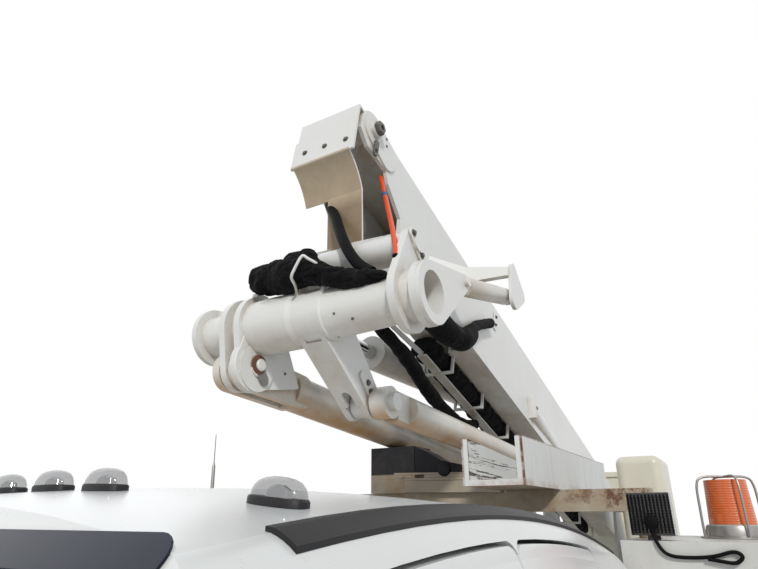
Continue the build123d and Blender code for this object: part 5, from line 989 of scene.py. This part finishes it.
def bag_shell():
    """Closed shell lofted through the bag's sections, remeshed evenly."""
    shape = Shape()
    shape.skin([shape.ring((x + half_x * cos(way), y, z + half_z * sin(way)) for way in turns(32))
                for y, x, z, half_x, half_z in BAG_SECTIONS])
    bag = shape.as_object("elbow_fabric_bag")
    remesh = bag.modifiers.new("remesh", "REMESH")
    remesh.mode = "VOXEL"
    remesh.voxel_size = BAG_VOXEL
    graph = bpy.context.evaluated_depsgraph_get()
    made = bpy.data.meshes.new_from_object(bag.evaluated_get(graph))
    bag.modifiers.clear()
    bag.data = made
    return bag


def push_along_normals(mesh, distance):
    """Move each vertex along its normal by a distance that depends on where it is."""
    normals = [vertex.normal.copy() for vertex in mesh.vertices]
    for vertex, normal in zip(mesh.vertices, normals):
        vertex.co = vertex.co + normal * distance(vertex.co)


def puff_up(bag):
    """Blow the bag up as cloth, by no more than BAG_MOST_PUFF anywhere."""
    cloth = bag.modifiers.new("cloth", "CLOTH")
    cloth.settings.use_pressure = True
    cloth.settings.uniform_pressure_force = 4
    cloth.settings.quality = 5
    cloth.settings.mass = 0.3
    cloth.settings.effector_weights.gravity = 0
    cloth.point_cache.frame_start = 1
    cloth.point_cache.frame_end = PUFF_FRAMES
    for step in range(1, PUFF_FRAMES + 1):
        bpy.context.scene.frame_set(step)
    graph = bpy.context.evaluated_depsgraph_get()
    puffed = [vertex.co.copy() for vertex in bag.evaluated_get(graph).data.vertices]
    bag.modifiers.clear()
    bpy.context.scene.frame_set(1)
    for vertex, now in zip(bag.data.vertices, puffed):
        move = now - vertex.co
        if move.length > BAG_MOST_PUFF:
            move *= BAG_MOST_PUFF / move.length
        vertex.co = vertex.co + move


def bag_lumps(here):
    """Soft lumps of the filling."""
    return noise.noise(here * 13) * 0.016 + noise.noise(here * 27 + Vector((5, 0, 0))) * 0.008 - 0.004


def bag_folds(here):
    """Creases of the fabric, wide and fine, bent by a slower noise."""
    warp = Vector((noise.noise(here * 7), noise.noise(here * 7 + Vector((9, 0, 0))),
                   noise.noise(here * 7 + Vector((0, 9, 0))))) * 0.05
    bent = here + warp
    fold = noise.noise(Vector((bent.x * 26, bent.y * 13, bent.z * 26)))
    fine = noise.noise(Vector((bent.x * 60, bent.y * 34, bent.z * 60)) + Vector((3, 1, 4)))
    return -(0.0055 * max(0, 1 - abs(fold) * 5) + 0.0018 * max(0, 1 - abs(fine) * 5))


def elbow_bag():
    """Fabric bag: a lofted shell puffed up as cloth, then creased."""
    bag = bag_shell()
    made = bag.data
    push_along_normals(made, bag_lumps)
    puff_up(bag)
    made.update()
    push_along_normals(made, bag_folds)
    for polygon in made.polygons:
        polygon.use_smooth = True
    made.materials.clear()
    made.materials.append(MATERIALS["sleeve"])
    soft = bag.modifiers.new("soft", "SUBSURF")
    soft.levels = 1
    soft.render_levels = 1
    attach(bag, "elbow")
    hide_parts("elbow_sleeve")


elbow_bag()


# Cab doors: handles with a lock, and mirror glasses
def bent_handle(bends, side):
    """Line of a handle from (x, distance from the middle, z) points."""
    return smooth_line([(x, side * y, z) for x, y, z in bends], 6)


DOOR_HANDLE = ((1.385, 1.000, 1.272), (1.385, 1.028, 1.275), (1.4, 1.036, 1.276), (1.5, 1.036, 1.276),
               (1.515, 1.028, 1.275), (1.515, 1.000, 1.272))
for side, word in SIDES:
    door = f"front_door_{word[0]}"
    shape = Shape()
    shape.tube(bent_handle(DOOR_HANDLE, side), 0.0095, 14)
    shape.lathe((1.362, side * 0.999, 1.255), NEAR * side,
                ((0.01, -0.004), (0.01, 0.004), (0, 0.004)), 16)
    shape.done(f"door_handle_{word}", "trim_black", door, "trim_black")
    shape = Shape()
    shape.box((2.1465, side * 1.043, 1.4), (2.1505, side * 1.207, 1.69))
    shape.done(f"mirror_glass_{word}", "mirror", door, "rod_chrome", bevel=0.0012)

# Wipers that lie on the windscreen
WIPER_FOOT_X = 2.44
WIPER_REACH_X = 0.1
WIPER_GAP = 0.014
WIPERS = ((0.44, -0.02), (-0.2, -0.66))


def wiper_line(foot_y, tip_y):
    """Points just above the windscreen, from a wiper's foot to its tip."""
    line = []
    for step in range(9):
        share = step / 8
        start = Vector((WIPER_FOOT_X - WIPER_REACH_X * share, foot_y + (tip_y - foot_y) * share, 3.0))
        hit, place, normal, _ = nodes["cab_glass"].ray_cast(start, -UP)
        if hit:
            line.append(place + normal * WIPER_GAP)
    return line


shape = Shape()
for foot_y, tip_y in WIPERS:
    arm = wiper_line(foot_y, tip_y)
    shape.tube(arm, 0.0045, 8)
    shape.tube([point + Vector((-0.004, 0, -0.006)) for point in arm[3:]], 0.0035, 6)
    shape.lathe(arm[0] - UP * 0.012, (0.3, 0, 1), ((0.013, 0), (0.013, 0.02), (0.008, 0.026), (0, 0.026)), 14)
shape.done("windscreen_wipers", "trim_black", "chassis", "trim_black")

# Grille: upright slats with a few bars across
GRILLE_HALF_WIDTH = 0.504
SLAT_PITCH = 0.024
SLAT_COUNT = 43
SLAT_HALF = 0.0022
BAR_LOW_Z = 0.842
BAR_PITCH = 0.046
BAR_COUNT = 7
shape = Shape()
for slat in range(SLAT_COUNT):
    y = -GRILLE_HALF_WIDTH + slat * SLAT_PITCH
    shape.box((3.845, y - SLAT_HALF, 0.815), (3.862, y + SLAT_HALF, 1.145))
for bar in range(BAR_COUNT):
    z = BAR_LOW_Z + bar * BAR_PITCH
    shape.box((3.847, -0.515, z - 0.002), (3.86, 0.515, z + 0.002))
shape.done("grille_slats", "trim_black", "chassis", "trim_black")

# Headlamp bezels and reflectors behind the lenses
shape = Shape()
for side in (1, -1):
    for y in (0.665, 0.865):
        shape.lathe((3.9045, side * y, 1.005), AHEAD,
                    ((0.088, 0), (0.088, 0.004), (0.08, 0.006), (0.074, 0.002), (0, 0.002)), 40)
shape.done("headlamp_rings", "chrome", "chassis", "rod_chrome")

# Paddle latches of the body's doors: name, body, x, z
LATCHES = (("tall", "tall_door", -0.395, 1.25), ("rear", "box_door", -3.475, 0.93))
DOOR_FACE = 1.2003
LATCH_FACE = DOOR_FACE + 0.003
PADDLE_FACE = LATCH_FACE + 0.009
for name, body, x, z in LATCHES:
    for side, word in SIDES:
        shape = Shape()
        shape.box((x - 0.048, side * DOOR_FACE, z - 0.062), (x + 0.048, side * LATCH_FACE, z + 0.062))
        shape.box((x - 0.032, side * LATCH_FACE, z - 0.044), (x + 0.032, side * PADDLE_FACE, z + 0.03))
        shape.lathe((x, side * LATCH_FACE, z + 0.045), NEAR * side,
                    ((0.009, 0), (0.009, 0.004), (0, 0.004)), 16)
        shape.done(f"{name}_{word}_latch", "steel", f"{body}_{word[0]}", "rod_chrome", bevel=0.0012)

# Mud flaps, side reflectors and grab rails of the body
REFLECTORS = ((-3.56, 0.7), (-2.39, 0.56), (-0.02, 0.56))
GRAB_RAIL = ((-3.602, 0.9, 1.02), (-3.648, 0.9, 1.03), (-3.66, 0.9, 1.05), (-3.66, 0.9, 1.2),
             (-3.648, 0.9, 1.22), (-3.602, 0.9, 1.23))
flaps, reflectors, rails = Shape(), Shape(), Shape()
for side in (1, -1):
    flaps.box((-2.352, side * 0.72, 0.2), (-2.342, side * 1.19, 0.6))
    for x, z in REFLECTORS:
        reflectors.lathe((x, side * 1.2005, z), NEAR * side,
                         ((0.03, 0), (0.03, 0.004), (0.024, 0.008), (0, 0.009)), 28)
    rails.tube(bent_handle(GRAB_RAIL, side), 0.011, 14)
flaps.done("mud_flaps", "rubber", "chassis", "trim_black", bevel=0.002)
reflectors.done("side_reflectors", "red", "chassis", "amber_lens")
rails.done("rear_grab_rails", "steel", "chassis", "rod_chrome")

# Tinted band on the header above the windscreen, its lower corners rounded
BAND_HALF_WIDTH = 0.688
BAND_HEIGHT = 0.05
BAND_CORNER = 0.03
BAND_TOP = (1.9445, 0, 1.9855)
BAND_SLOPE = (0.692, 0, -0.722)
band = [(-BAND_HALF_WIDTH, BAND_HEIGHT)]
for middle, first in ((-BAND_HALF_WIDTH + BAND_CORNER, 180), (BAND_HALF_WIDTH - BAND_CORNER, 270)):
    band += arc((middle, BAND_CORNER), BAND_CORNER, first, first + 91, 15)
band.append((BAND_HALF_WIDTH, BAND_HEIGHT))
shape = Shape()
shape.plate(band, BAND_TOP, NEAR, BAND_SLOPE, -0.003)
shape.done("windscreen_header_band", "dark_band", "chassis", "dark_glass", bevel=0.0008)


# Floor and light
def add_floor():
    reach = 60
    data = bpy.data.meshes.new("floor")
    data.from_pydata([(-reach, -reach, 0), (reach, -reach, 0), (reach, reach, 0), (-reach, reach, 0)],
                     [], [(0, 1, 2, 3)])
    floor = add_object("floor", data)
    Surface("floor", (0.72, 0.72, 0.71)).done("floor", Roughness=0.9)
    data.materials.append(MATERIALS["floor"])


def add_world():
    """White behind the object as seen by camera, gloss and glass; a plain soft light otherwise."""
    world = bpy.data.worlds.new("world")
    bpy.context.scene.world = world
    world.use_nodes = True
    tree = world.node_tree
    tree.nodes.clear()
    seen = add_node(tree, "Background", Color=(1, 1, 1), Strength=1.0)
    light = add_node(tree, "Background", Color=(0.88, 0.94, 1.0), Strength=0.46)
    path = add_node(tree, "LightPath")
    mask = path.outputs["Is Camera Ray"]
    for ray in ("Is Glossy Ray", "Is Transmission Ray"):
        mask = combine(tree, "MAXIMUM", mask, path.outputs[ray])
    both = add_node(tree, "MixShader", Fac=mask)
    feed(tree, both.inputs[1], light.outputs["Background"])
    feed(tree, both.inputs[2], seen.outputs["Background"])
    add_node(tree, "OutputWorld", Surface=both.outputs["Shader"])


def add_sun(name, towards, strength, angle, colour):
    data = bpy.data.lights.new(name, "SUN")
    data.energy = strength
    data.angle = radians(angle)
    data.color = colour
    sun = add_object(name, data)
    sun.rotation_euler = Vector(towards).to_track_quat("-Z", "Y").to_euler()


add_floor()
add_world()
add_sun("key", (-0.70, -0.50, -0.50), 1.75, 7, (1.0, 0.97, 0.92))
add_sun("fill", (0.3, 0.8, -0.6), 0.30, 60, (0.92, 0.96, 1.0))
bpy.context.scene.view_settings.view_transform = "Standard"
